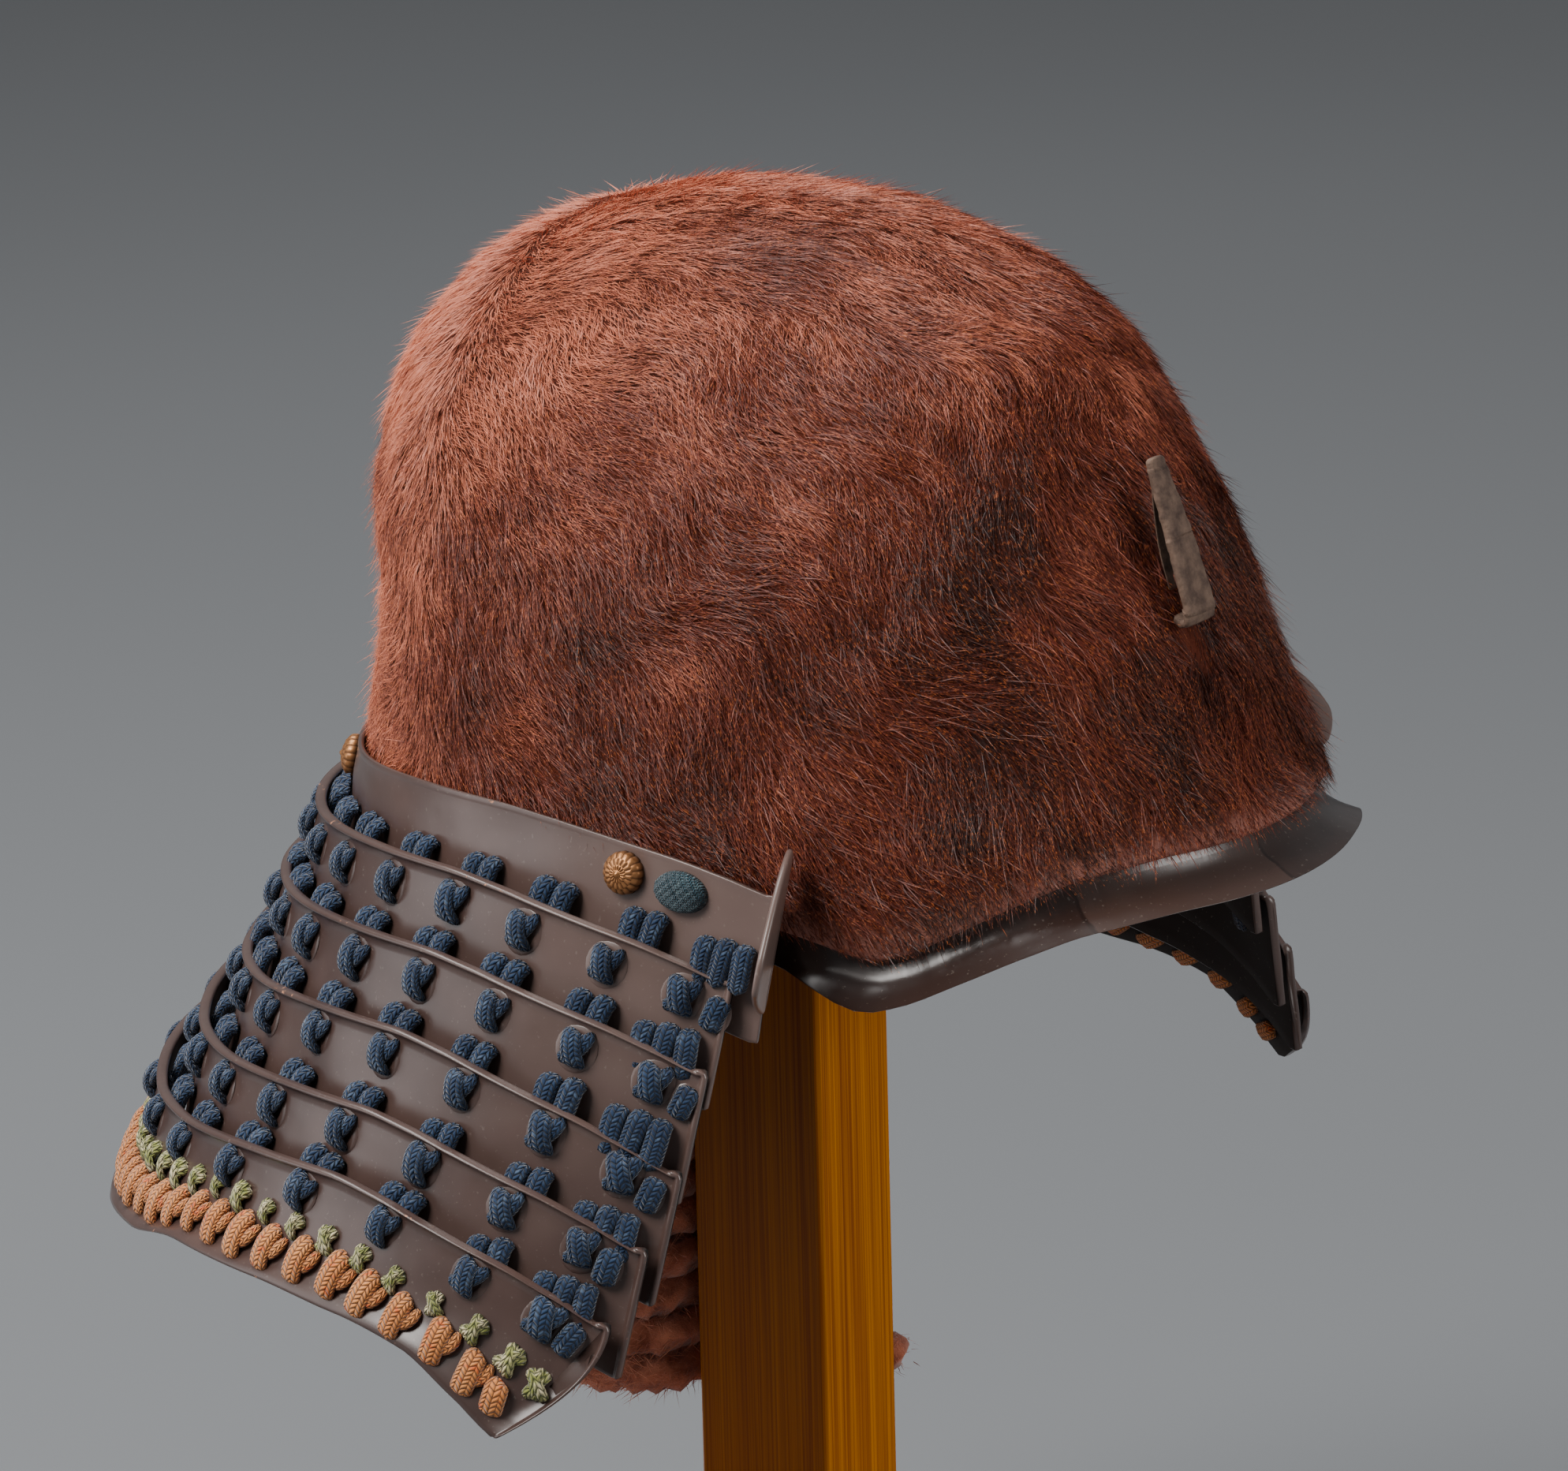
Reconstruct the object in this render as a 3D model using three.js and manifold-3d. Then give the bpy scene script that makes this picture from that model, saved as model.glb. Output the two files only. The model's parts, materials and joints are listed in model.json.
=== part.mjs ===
// Samurai helmet (kabuto) on a wooden post stand, in millimetres.
//
// The bowl is a hollow iron shell covered by a hide with the fur left on. A lacquered neck guard of six
// overlapping lames hangs round its back and sides, and the ends of the top lame carry two small turned-out
// wings. A forged prong for a crest stands on the front of the bowl, with a thin leaf spring behind it. The
// chin cord leaves two loops inside the bowl and is wound into a bundle behind the post.
//
// Frame: +Z is up, the floor is z = 0, the front of the helmet faces -Y and the wearer's left is +X. The origin
// is the centre of the foot of the stand. The helmet is drawn in its own group, whose datum is the level of the
// bowl's lower edge at the back; "forward" below means a distance towards -Y from that datum's axis.
import * as THREE from "three";
import { mergeVertices } from "three/addons/utils/BufferGeometryUtils.js";
import Module from "manifold-3d";

const wasm = await Module();
wasm.setup();

// ---------------------------------------------------------------- driving dimensions
const GAP = 0.3; // clearance between solids that touch
const DATUM_HEIGHT = 330; // helmet datum above the floor
const DATUM_FORWARD = 9.5; // helmet datum in front of the post's axis

// Fur-covered bowl: outer form of the hide, as half sections from the rim to the crown.
const bowlRows = [
  { height: -24, front: 158, back: 124, side: 104 },
  { height: 0, front: 143.5, back: 120, side: 104.5 },
  { height: 24, front: 129.5, back: 115, side: 105.5 },
  { height: 56, front: 114, back: 111.5, side: 105 },
  { height: 77, front: 104, back: 111.5, side: 102.5 },
  { height: 97, front: 93.5, back: 109, side: 97 },
  { height: 116, front: 79, back: 100, side: 86.5 },
  { height: 132, front: 55, back: 85, side: 67.5 },
  { height: 143, front: 25.5, back: 61, side: 42 },
  { height: 147.5, front: 0, back: 36, side: 18 },
  { height: 148.5, front: -18, back: 18, side: 0 },
];
const BOWL_SQUARENESS = 2; // exponent of the plan section, 2 being an ellipse
const HIDE_WALL = 3; // hide with its fur laid flat
const HIDE_GAP = 0.7; // between the hide and the shell
const SHELL_WALL = 2.4; // iron shell
const CROWN_ROW = bowlRows.length - 1;

// Lower edge of the hide, by plan angle from the front.
const hideEdgeRows = [
  { angle: 0, height: 5 },
  { angle: 17, height: 5 },
  { angle: 32, height: 2.5 },
  { angle: 41, height: -2 },
  { angle: 50, height: -8.5 },
  { angle: 57, height: -14 },
  { angle: 61, height: -15.8 },
  { angle: 66, height: -12.5 },
  { angle: 72, height: -9 },
  { angle: 105, height: -5 },
  { angle: 144, height: -8 },
  { angle: 180, height: -12 },
];
// Brim: a lip that turns out below the hide over the forehead and temples, and runs straight under the neck
// guard. Each row is one line round the lip.
const lipRows = [
  { out: 0.4, down: 2 },
  { out: 2.4, down: 5.4 },
  { out: 6.4, down: 8.4 },
  { out: 12, down: 10.8 },
];
const LIP_WALL = 1.8;
const LIP_FADE_FROM = 62; // plan angles between which the turned-out lip fades away
const LIP_FADE_TO = 73;

// Neck guard: rings of the six lames. back, side and front are the half axes of a lame's top edge, end is how
// far forward its front corner stands, peak is the height of the top edge over the shoulder, dip how much lower
// it lies at the front corner and sag how much lower at the middle of the back.
const lames = [
  { back: 121.8, side: 107.5, front: 200, end: 63, peak: 12.6, dip: 12.5, sag: 12, tall: 37, slope: 0.16 },
  { back: 129.8, side: 121.5, front: 129, end: 54.5, peak: -1.9, dip: 18.6, sag: 9, tall: 32, slope: 0.22 },
  { back: 138, side: 133.5, front: 129, end: 54, peak: -19.6, dip: 21.5, sag: 8.5, tall: 33, slope: 0.22 },
  { back: 148, side: 145.5, front: 129, end: 53.5, peak: -37.7, dip: 26.8, sag: 10.5, tall: 33, slope: 0.22 },
  { back: 160, side: 157, front: 129, end: 51, peak: -55.6, dip: 26, sag: 8.5, tall: 32, slope: 0.22 },
  { back: 171.5, side: 168.5, front: 129, end: 47.8, peak: -70, dip: 28.2, sag: 9.5, tall: 32, slope: 0.24 },
];
const RING_FRONT = 129; // the usual front half axis
const LAME_WALL = 1.5;
const BEAD_OUT = 1.5; // rolled edge that stands proud along the top and front of each lame
const TOP_LAME_BEAD = 0.15; // the top lame's edge is all but plain
const BEAD_TALL = 2.6;
const CORNER_RADIUS = 2.5;
const END_RAKE = 0.1; // the front edges fall back by this share of their height

// Drop of a top edge below its peak from the front corner (0) to the middle of the back (1), as shares of dip
// and of sag.
const archRows = [
  { along: 0, dip: 1, sag: 0 },
  { along: 0.05, dip: 0.77, sag: 0 },
  { along: 0.1, dip: 0.54, sag: 0 },
  { along: 0.15, dip: 0.37, sag: 0 },
  { along: 0.2, dip: 0.22, sag: 0 },
  { along: 0.25, dip: 0.09, sag: 0 },
  { along: 0.32, dip: 0, sag: 0 },
  { along: 0.42, dip: 0, sag: 0.08 },
  { along: 0.67, dip: 0, sag: 0.63 },
  { along: 1, dip: 0, sag: 1 },
];
// Hem of the last lame, scooped over the shoulders and drawn down to a point at each front corner.
const hemRows = [
  { along: 0, height: -125.5 },
  { along: 0.05, height: -117 },
  { along: 0.11, height: -107 },
  { along: 0.18, height: -101.6 },
  { along: 0.3, height: -98.6 },
  { along: 0.45, height: -99.4 },
  { along: 0.61, height: -106.2 },
  { along: 1, height: -113 },
];
const HEM_FLARE = 6.5; // the last lame turns out by this much more at its hem
const HEM_SWEEP = 20; // and its front edge curves back by this much

// Turned-out wings at the front ends of the top lame.
const WING_HEADING = 27.5; // degrees forward of straight out
const WING_WALL = 1.8;
const WING_LEAN = 0.13; // forward lean of the wing's root per unit of height
const WING = { top: 12.4, reach: 29.5, reachHeight: -9.5, foot: -30.5 };

// Chrysanthemum rivet heads on the top lame, by plan angle from the front.
const rosetteAngles = [84.3, 153];
const ROSETTE = { radius: 5.5, rim: 1.1, dome: 3.2, boss: 0.9, belowTop: 7.4 };

// Flat oval cord knots at the temples, on the top lame.
const KNOT = { angle: 79.6, belowTop: 7.6, length: 15, height: 10.4, out: 4 };

// Forged crest prong on the front of the bowl, and the leaf spring behind it. Each row is a station of the
// middle line: height, distance in front of the hide's face there, and the bar's width.
const prongRows = [
  { forward: 115.4, height: 55.5, wide: 9 },
  { forward: 119.4, height: 54.5, wide: 12.2 },
  { forward: 121.3, height: 56.5, wide: 12.6 },
  { forward: 114.8, height: 76, wide: 10.6 },
  { forward: 108, height: 94, wide: 6.8 },
  { forward: 107.6, height: 95.4, wide: 5.2 },
];
const PRONG_WALL = 2.2;
const springRows = [
  { forward: 108.1, height: 89, wide: 4.4 },
  { forward: 108.9, height: 81, wide: 4.6 },
  { forward: 110.2, height: 72, wide: 4.4 },
  { forward: 113, height: 62, wide: 3.8 },
];
const SPRING_WALL = 0.5;

// Wooden stand: base board, square-cut post and the plain head that the crown rests on.
const POST = { deep: 41, wide: 32, chamfer: 1.2 };
const BASE = { deep: 230, wide: 230, tall: 20, chamfer: 3 };
const HEAD = { radius: 42, tall: 14, bevel: 9, belowCrown: 6.1 };

// Chin cord: two runs down from the sides of the bowl to a hank that hangs behind the post, and one free end
// that lies along the far side of the post. Points are left, forward and height from the helmet's datum.
const CORD_DIAMETER = 10;
const HANK = { wide: 54, deep: 40, top: -62, bottom: -181, forward: -53, left: 0, round: 12 };
const runRows = [
  { left: 91, forward: 22, height: -8 },
  { left: 82, forward: 8, height: -34 },
  { left: 60, forward: -22, height: -50 },
  { left: 30, forward: -46, height: -49 },
  { left: 12, forward: -53, height: -56 },
];
const endRows = [
  { left: 32, forward: -45, height: -169 },
  { left: 33, forward: -33, height: -172 },
  { left: 29, forward: -16, height: -171 },
  { left: 25, forward: 1, height: -169 },
];

// ---------------------------------------------------------------- interpolation and sections
const RADIANS = Math.PI / 180;
const clamp = (v, low, high) => Math.min(high, Math.max(low, v));
const mix = (a, b, share) => a + (b - a) * share;
const smooth = (v, from, to) => {
  const s = clamp((v - from) / (to - from), 0, 1);
  return s * s * (3 - 2 * s);
};

// One column of a table, as a smooth curve without overshoot (monotone cubic) over the key column.
function tableAt(rows, key, column, value) {
  const last = rows.length - 1;
  const v = clamp(value, rows[0][key], rows[last][key]);
  const i = Math.min(last - 1, Math.max(0, rows.findIndex((r, n) => n < last && v <= rows[n + 1][key])));
  const span = (n) => rows[n + 1][key] - rows[n][key];
  const rise = (n) => (rows[n + 1][column] - rows[n][column]) / span(n);
  const tangent = (n) => {
    if (n === 0 || n === last) return 0;
    const [a, b] = [rise(n - 1), rise(n)];
    return a * b <= 0 ? 0 : (2 * a * b) / (a + b);
  };
  const [w, s] = [span(i), (v - rows[i][key]) / span(i)];
  const [s2, s3] = [s * s, s * s * s];
  return (
    (2 * s3 - 3 * s2 + 1) * rows[i][column] +
    (s3 - 2 * s2 + s) * w * tangent(i) +
    (3 * s2 - 2 * s3) * rows[i + 1][column] +
    (s3 - s2) * w * tangent(i + 1)
  );
}

// One column of the bowl's table at a row position that may fall between rows (Catmull-Rom).
function bowlAt(column, position) {
  const i = Math.min(CROWN_ROW - 1, Math.floor(position));
  const s = position - i;
  const at = (n) => bowlRows[clamp(n, 0, CROWN_ROW)][column];
  const [a, b, c, d] = [at(i - 1), at(i), at(i + 1), at(i + 2)];
  return 0.5 * (2 * b + (c - a) * s + (2 * a - 5 * b + 4 * c - d) * s * s + (3 * b - a - 3 * c + d) * s * s * s);
}

const power = (v) => Math.sign(v) * Math.abs(v) ** (2 / BOWL_SQUARENESS);

// A point of the bowl's outer form. position is the row position, angle the plan angle from the front.
function bowlSurface(position, angle) {
  const [front, back] = [bowlAt("front", position), bowlAt("back", position)];
  const forward = (front - back) / 2 + ((front + back) / 2) * power(Math.cos(angle * RADIANS));
  const left = bowlAt("side", position) * power(Math.sin(angle * RADIANS));
  return new THREE.Vector3(left, -forward, bowlAt("height", position));
}

// The same point moved inwards, square to the surface.
function bowlPoint(position, angle, inset) {
  const point = bowlSurface(position, angle);
  if (position > CROWN_ROW - 1e-6) return point.setZ(point.z - inset);
  const [step, turn] = [0.02, 0.5];
  const up = bowlSurface(position + step, angle).sub(bowlSurface(position - step, angle));
  const round = bowlSurface(position, angle + turn).sub(bowlSurface(position, angle - turn));
  return point.addScaledVector(up.cross(round).normalize(), inset);
}

// Row position at which the bowl's outer form reaches a height.
function positionAtHeight(height) {
  let [low, high] = [0, CROWN_ROW];
  for (let n = 0; n < 40; n++) {
    const middle = (low + high) / 2;
    if (bowlAt("height", middle) < height) low = middle;
    else high = middle;
  }
  return (low + high) / 2;
}

const foldAngle = (angle) => Math.abs(((angle + 540) % 360) - 180);
const hideEdge = (angle) => tableAt(hideEdgeRows, "angle", "height", foldAngle(angle));

// ---------------------------------------------------------------- mesh building
const geometryOf = (positions, faces) =>
  new THREE.BufferGeometry()
    .setAttribute("position", new THREE.BufferAttribute(new Float32Array(positions), 3))
    .setIndex(faces);

// Closed skin through rings of equal length. A ring of one point is a pole, and loop joins the last ring to
// the first; otherwise the first and last rings are poles.
function skin(rings, loop) {
  const positions = [];
  const starts = rings.map((ring) => {
    const start = positions.length / 3;
    ring.forEach((p) => positions.push(p.x, p.y, p.z));
    return start;
  });
  const faces = [];
  const joins = loop ? rings.length : rings.length - 1;
  for (let r = 0; r < joins; r++) {
    const next = (r + 1) % rings.length;
    const count = Math.max(rings[r].length, rings[next].length);
    for (let n = 0; n < count; n++) {
      const m = (n + 1) % count;
      const [a, b] = rings[r].length > 1 ? [starts[r] + n, starts[r] + m] : [starts[r], starts[r]];
      const [c, d] = rings[next].length > 1 ? [starts[next] + n, starts[next] + m] : [starts[next], starts[next]];
      if (a !== b) faces.push(a, b, c);
      if (c !== d) faces.push(b, d, c);
    }
  }
  return geometryOf(positions, faces);
}

// Triangles that fill an outline, wound the same way as the outline itself.
function fillOf(outline) {
  const [a, b, c] = [new THREE.Vector2(), new THREE.Vector2(), new THREE.Vector2()];
  const clockwise = THREE.ShapeUtils.isClockWise(outline);
  return THREE.ShapeUtils.triangulateShape(outline, []).map(([i, j, k]) => {
    a.copy(outline[i]);
    b.copy(outline[j]).sub(a);
    c.copy(outline[k]).sub(a);
    return b.cross(c) < 0 === clockwise ? [i, j, k] : [k, j, i];
  });
}

// Strip through equal polygons, closed by its two end polygons, which outline is the flat form of.
function strip(polygons, outline) {
  const cap = fillOf(outline);
  const positions = polygons.flat().flatMap((p) => [p.x, p.y, p.z]);
  const count = polygons[0].length;
  const faces = [];
  for (let r = 0; r < polygons.length - 1; r++) {
    for (let n = 0; n < count; n++) {
      const m = (n + 1) % count;
      const [a, b, c, d] = [r * count + n, r * count + m, (r + 1) * count + n, (r + 1) * count + m];
      faces.push(a, b, c, b, d, c);
    }
  }
  const end = (polygons.length - 1) * count;
  cap.forEach(([a, b, c]) => faces.push(c, b, a, a + end, b + end, c + end));
  return geometryOf(positions, faces);
}

// The same faces with shared vertices and nothing but positions.
function cleaned(geometry) {
  const plain = geometry.index ? geometry.toNonIndexed() : geometry.clone();
  plain.deleteAttribute("normal");
  plain.deleteAttribute("uv");
  return mergeVertices(plain, 1e-4);
}

function solidOf(geometry) {
  const merged = cleaned(geometry);
  return new wasm.Manifold(
    new wasm.Mesh({
      numProp: 3,
      vertProperties: merged.attributes.position.array,
      triVerts: new Uint32Array(merged.index.array),
    }),
  );
}

function geometryFrom(solid) {
  const mesh = solid.getMesh();
  return geometryOf(mesh.vertProperties, Array.from(mesh.triVerts));
}

// Faces point out when the volume is positive; a skin or strip wound the other way is turned round.
function facingOut(geometry) {
  const p = geometry.attributes.position;
  const index = geometry.index.array;
  const [a, b, c] = [new THREE.Vector3(), new THREE.Vector3(), new THREE.Vector3()];
  let volume = 0;
  for (let n = 0; n < index.length; n += 3) {
    a.fromBufferAttribute(p, index[n]);
    b.fromBufferAttribute(p, index[n + 1]);
    c.fromBufferAttribute(p, index[n + 2]);
    volume += a.dot(b.cross(c));
  }
  if (volume < 0) for (let n = 0; n < index.length; n += 3) [index[n], index[n + 1]] = [index[n + 1], index[n]];
  return geometry;
}

// ---------------------------------------------------------------- materials
const finish = (color, roughness, metalness) => new THREE.MeshStandardMaterial({ color, roughness, metalness });
const lacquer = finish(0x33231f, 0.35, 0.1);
const fur = finish(0x74341f, 0.9, 0);
const iron = finish(0x4a3d36, 0.6, 0.6);
const brass = finish(0x9a6f3a, 0.45, 0.8);
const wood = finish(0xa86318, 0.4, 0);
const tealCord = finish(0x2b5560, 0.9, 0);
const rustCord = finish(0xa9583a, 0.95, 0);

const helmet = new THREE.Group();
helmet.position.set(0, -DATUM_FORWARD, DATUM_HEIGHT);

function add(group, name, geometry, material, position = [0, 0, 0], rotation = [0, 0, 0]) {
  const mesh = new THREE.Mesh(geometry, material);
  mesh.name = name;
  mesh.position.set(...position);
  mesh.rotation.set(...rotation);
  group.add(mesh);
  return mesh;
}

// ---------------------------------------------------------------- bowl
const ROUND = 54; // facets round the bowl
const DOME_RINGS = 9; // rings from the hide's edge to just below the crown
const planAngles = Array.from({ length: ROUND }, (_, n) => (n * 360) / ROUND);

// Rings of one surface of the bowl from the hide's lower edge up, raised by lift at the edge.
const domeRings = (inset, lift) =>
  Array.from({ length: DOME_RINGS }, (_, n) =>
    planAngles.map((angle) => {
      const low = positionAtHeight(hideEdge(angle) + lift);
      return bowlPoint(mix(low, CROWN_ROW, (n / DOME_RINGS) ** 0.9), angle, inset);
    }),
  );

function hideGeometry() {
  const outer = domeRings(0, 0);
  const inner = domeRings(HIDE_WALL, 0);
  const crown = [bowlPoint(CROWN_ROW, 0, 0)];
  const innerCrown = [bowlPoint(CROWN_ROW, 0, HIDE_WALL)];
  return facingOut(skin([crown, ...outer.reverse(), ...inner, innerCrown], false));
}

// Rings of the lip below the shell's wall; back is the wall's thickness for its inner side.
function lipRings(back) {
  return lipRows.map(({ out, down }) =>
    planAngles.map((angle) => {
      const flare = 1 - smooth(foldAngle(angle), LIP_FADE_FROM, LIP_FADE_TO);
      const low = positionAtHeight(hideEdge(angle));
      const point = bowlPoint(low, angle, HIDE_WALL + HIDE_GAP + back);
      const outward = bowlPoint(low, angle, 0).sub(bowlPoint(low, angle, 1)).setZ(0).normalize();
      return point.addScaledVector(outward, out * flare).setZ(point.z - down + back * flare * 0.4);
    }),
  );
}

function shellGeometry() {
  const inset = HIDE_WALL + HIDE_GAP;
  const outer = domeRings(inset, 0);
  const inner = domeRings(inset + SHELL_WALL, 0);
  const rings = [
    [bowlPoint(CROWN_ROW, 0, inset)],
    ...outer.reverse(),
    ...lipRings(0),
    ...lipRings(LIP_WALL).reverse(),
    ...inner,
    [bowlPoint(CROWN_ROW, 0, inset + SHELL_WALL)],
  ];
  return facingOut(skin(rings, false));
}

add(helmet, "bowl_shell", shellGeometry(), lacquer);
add(helmet, "fur_hide", hideGeometry(), fur);

// ---------------------------------------------------------------- neck guard
// How far round the ring from the front edge (0) to the middle of the back (1) a place lies, judged by how far
// forward it is.
function alongRing(forward, end) {
  const angleOf = (f) => Math.acos(clamp(f / RING_FRONT, -1, 1));
  return clamp((angleOf(forward) - angleOf(end)) / (Math.PI - angleOf(end)), 0, 1);
}

// How far forward a lame's front edge stands at a distance down from its top edge.
function lameEnd(lame, down, isLast) {
  const inCorner = CORNER_RADIUS - Math.min(down, CORNER_RADIUS);
  const corner = CORNER_RADIUS - Math.sqrt(CORNER_RADIUS ** 2 - inCorner ** 2);
  const sweep = isLast ? HEM_SWEEP * clamp(down / lame.tall, 0, 1) ** 2.2 : END_RAKE * down;
  return lame.end - corner - sweep;
}

// A point of a lame. turn runs from -1 (wearer's right front edge) over 0 (middle back) to 1, down is the
// distance below the top edge as a share of the lame's height, out an offset from its outer face, and back
// a distance back from the front edge.
function lamePoint(number, turn, share, out, back = 0) {
  const lame = lames[number];
  const isLast = number === lames.length - 1;
  const topAngle = Math.PI - (Math.PI - Math.acos(lame.end / lame.front)) * Math.abs(turn);
  const along = alongRing((topAngle > Math.PI / 2 ? lame.back : lame.front) * Math.cos(topAngle), lame.end);
  const drop = (column) => lame[column] * tableAt(archRows, "along", column, along);
  const top = lame.peak - drop("dip") - drop("sag");
  const tall = isLast ? top - tableAt(hemRows, "along", "height", along) : lame.tall;
  const down = tall * share;
  const flare = lame.slope * down + (isLast ? HEM_FLARE * share ** 3 : 0);
  const end = lameEnd(lame, share * lame.tall, isLast) - back;
  const front = lame.front + flare;
  const endAngle = Math.acos(end / front) / RADIANS;
  const angle = (180 - (180 - endAngle) * Math.abs(turn)) * RADIANS;
  const forward = ((angle > Math.PI / 2 ? lame.back + flare : front) + out) * Math.cos(angle);
  const left = Math.sign(turn || 1) * (lame.side + flare + out) * Math.sin(angle);
  return new THREE.Vector3(left, -forward, top - down);
}

// Cross-section of a lame: where down its height each point is, and how far out from its face. bead is how
// proud the rolled top edge stands and hem how proud the lower one does.
const lameSection = (tall, bead, hem) => [
  { share: 0.6 / tall, out: -LAME_WALL },
  { share: 0, out: -0.2 },
  { share: 0.5 / tall, out: bead },
  { share: (BEAD_TALL - 0.4) / tall, out: bead },
  { share: (BEAD_TALL + 0.8) / tall, out: 0 },
  ...(hem ? [{ share: 0.5, out: 0 }, { share: 0.8, out: 0 }, { share: 1 - 1.5 / tall, out: hem }] : []),
  { share: 1, out: hem },
  { share: 1, out: -LAME_WALL },
  ...(hem ? [{ share: 0.8, out: -LAME_WALL }, { share: 0.5, out: -LAME_WALL }] : []),
];
const HEM_BEAD = 1;
const LAME_STEPS = 16; // facets from the middle back to each front edge

// The front edge carries the same bead as the top one: what share of it stands proud at a distance back.
const endBead = [
  { back: 0, share: 0.3 },
  { back: 0.9, share: 1 },
  { back: BEAD_TALL - 0.4, share: 1 },
  { back: BEAD_TALL + 0.8, share: 0 },
];

function lameGeometry(number) {
  const isLast = number === lames.length - 1;
  const bead = number ? BEAD_OUT : TOP_LAME_BEAD;
  const section = lameSection(lames[number].tall, bead, isLast ? HEM_BEAD : 0);
  const side = (sign) => endBead.map(({ back, share }) => ({ turn: sign, back, proud: share * bead }));
  const stations = [
    ...side(-1),
    ...Array.from({ length: 2 * LAME_STEPS - 1 }, (_, n) => ({
      turn: (n + 1 - LAME_STEPS) / LAME_STEPS,
      back: 0,
      proud: 0,
    })),
    ...side(1).reverse(),
  ];
  const polygons = stations.map(({ turn, back, proud }) =>
    section.map(({ share, out }) => lamePoint(number, turn, share, out < 0 ? out : Math.max(out, proud), back)),
  );
  const outline = section.map(({ share, out }) => new THREE.Vector2(out, -share * lames[number].tall));
  return facingOut(strip(polygons, outline));
}

// Wing in its own plane: x runs out from the root, y up from the datum.
function wingShape() {
  const { top, reach, reachHeight, foot } = WING;
  const shape = new THREE.Shape();
  shape.moveTo(-1, foot + 4);
  shape.quadraticCurveTo(0.6, foot, 2, foot + 1);
  shape.quadraticCurveTo(reach * 0.72, foot + 8, reach - 1.2, reachHeight - 7);
  shape.quadraticCurveTo(reach + 1, reachHeight - 2, reach - 1, reachHeight + 3);
  shape.quadraticCurveTo(reach * 0.62, top - 1.5, 4, top + 0.8);
  shape.quadraticCurveTo(0, top + 1.4, -1, top - 1.5);
  return shape;
}

function wingGeometry(sign) {
  const plate = new THREE.ExtrudeGeometry(wingShape(), { depth: WING_WALL, bevelEnabled: false, curveSegments: 5 });
  plate.translate(0, 0, -WING_WALL / 2);
  const root = lamePoint(0, sign, 0.35, -LAME_WALL / 2);
  const heading = WING_HEADING * RADIANS;
  const outward = new THREE.Vector3(sign * Math.cos(heading), -Math.sin(heading), 0);
  const up = new THREE.Vector3(-sign * lames[0].slope, -WING_LEAN, 1).normalize();
  const across = new THREE.Vector3().crossVectors(outward, up).normalize();
  const matrix = new THREE.Matrix4().makeBasis(outward, up, across);
  matrix.setPosition(root.addScaledVector(up, -root.z));
  return plate.applyMatrix4(matrix);
}

function topLameGeometry() {
  const lame = solidOf(lameGeometry(0));
  return geometryFrom(lame.add(solidOf(wingGeometry(1))).add(solidOf(wingGeometry(-1))));
}

lames.forEach((_, number) => {
  add(helmet, `neck_lame_${number + 1}`, number ? lameGeometry(number) : topLameGeometry(), lacquer);
});

// ---------------------------------------------------------------- rivet heads and knots
// Frame on the outer face of the top lame at a plan angle: x along it, y up its face, z straight out of it.
function lameFrame(angle, sign, belowTop, out) {
  const lame = lames[0];
  const endAngle = Math.acos(lame.end / lame.front) / RADIANS;
  const turn = (sign * (180 - angle)) / (180 - endAngle);
  const share = belowTop / lame.tall;
  const at = (t, s) => lamePoint(0, t, s, 0);
  const up = at(turn, share - 0.02).sub(at(turn, share + 0.02)).normalize();
  const round = at(turn + 0.01, share).sub(at(turn - 0.01, share)).normalize();
  const outward = round.clone().cross(up).normalize();
  const middle = at(turn, share);
  if (outward.dot(new THREE.Vector3(middle.x, middle.y, 0)) < 0) outward.negate();
  const matrix = new THREE.Matrix4().makeBasis(new THREE.Vector3().crossVectors(up, outward), up, outward);
  return matrix.setPosition(middle.addScaledVector(outward, out));
}

function rosetteGeometry() {
  const { radius, rim, dome, boss } = ROSETTE;
  const domeAt = (share) => new THREE.Vector2(radius * share, rim + dome * Math.sqrt(1 - share ** 2));
  const profile = [
    new THREE.Vector2(0, 0),
    new THREE.Vector2(radius, 0),
    domeAt(0.99),
    domeAt(0.85),
    domeAt(0.6),
    domeAt(0.3),
    new THREE.Vector2(boss * 0.8, rim + dome + 0.5),
    new THREE.Vector2(0, rim + dome + 0.7),
  ];
  return facingOut(cleaned(new THREE.LatheGeometry(profile, 20).rotateX(Math.PI / 2)));
}

function knotGeometry() {
  const knot = new THREE.SphereGeometry(1, 14, 9);
  knot.scale(KNOT.length / 2, KNOT.height / 2, KNOT.out);
  const flatCut = new THREE.Plane(new THREE.Vector3(0, 0, 1), 0);
  const whole = solidOf(cleaned(knot));
  return geometryFrom(whole.trimByPlane(flatCut.normal.toArray(), 0));
}

for (const [side, sign] of [["left", 1], ["right", -1]]) {
  rosetteAngles.forEach((angle, n) => {
    const name = `rosette_${n ? "back" : "front"}_${side}`;
    add(helmet, name, rosetteGeometry(), brass).applyMatrix4(lameFrame(angle, sign, ROSETTE.belowTop, GAP));
  });
  add(helmet, `knot_${side}`, knotGeometry(), tealCord).applyMatrix4(
    lameFrame(KNOT.angle, sign, KNOT.belowTop, GAP),
  );
}

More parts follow.
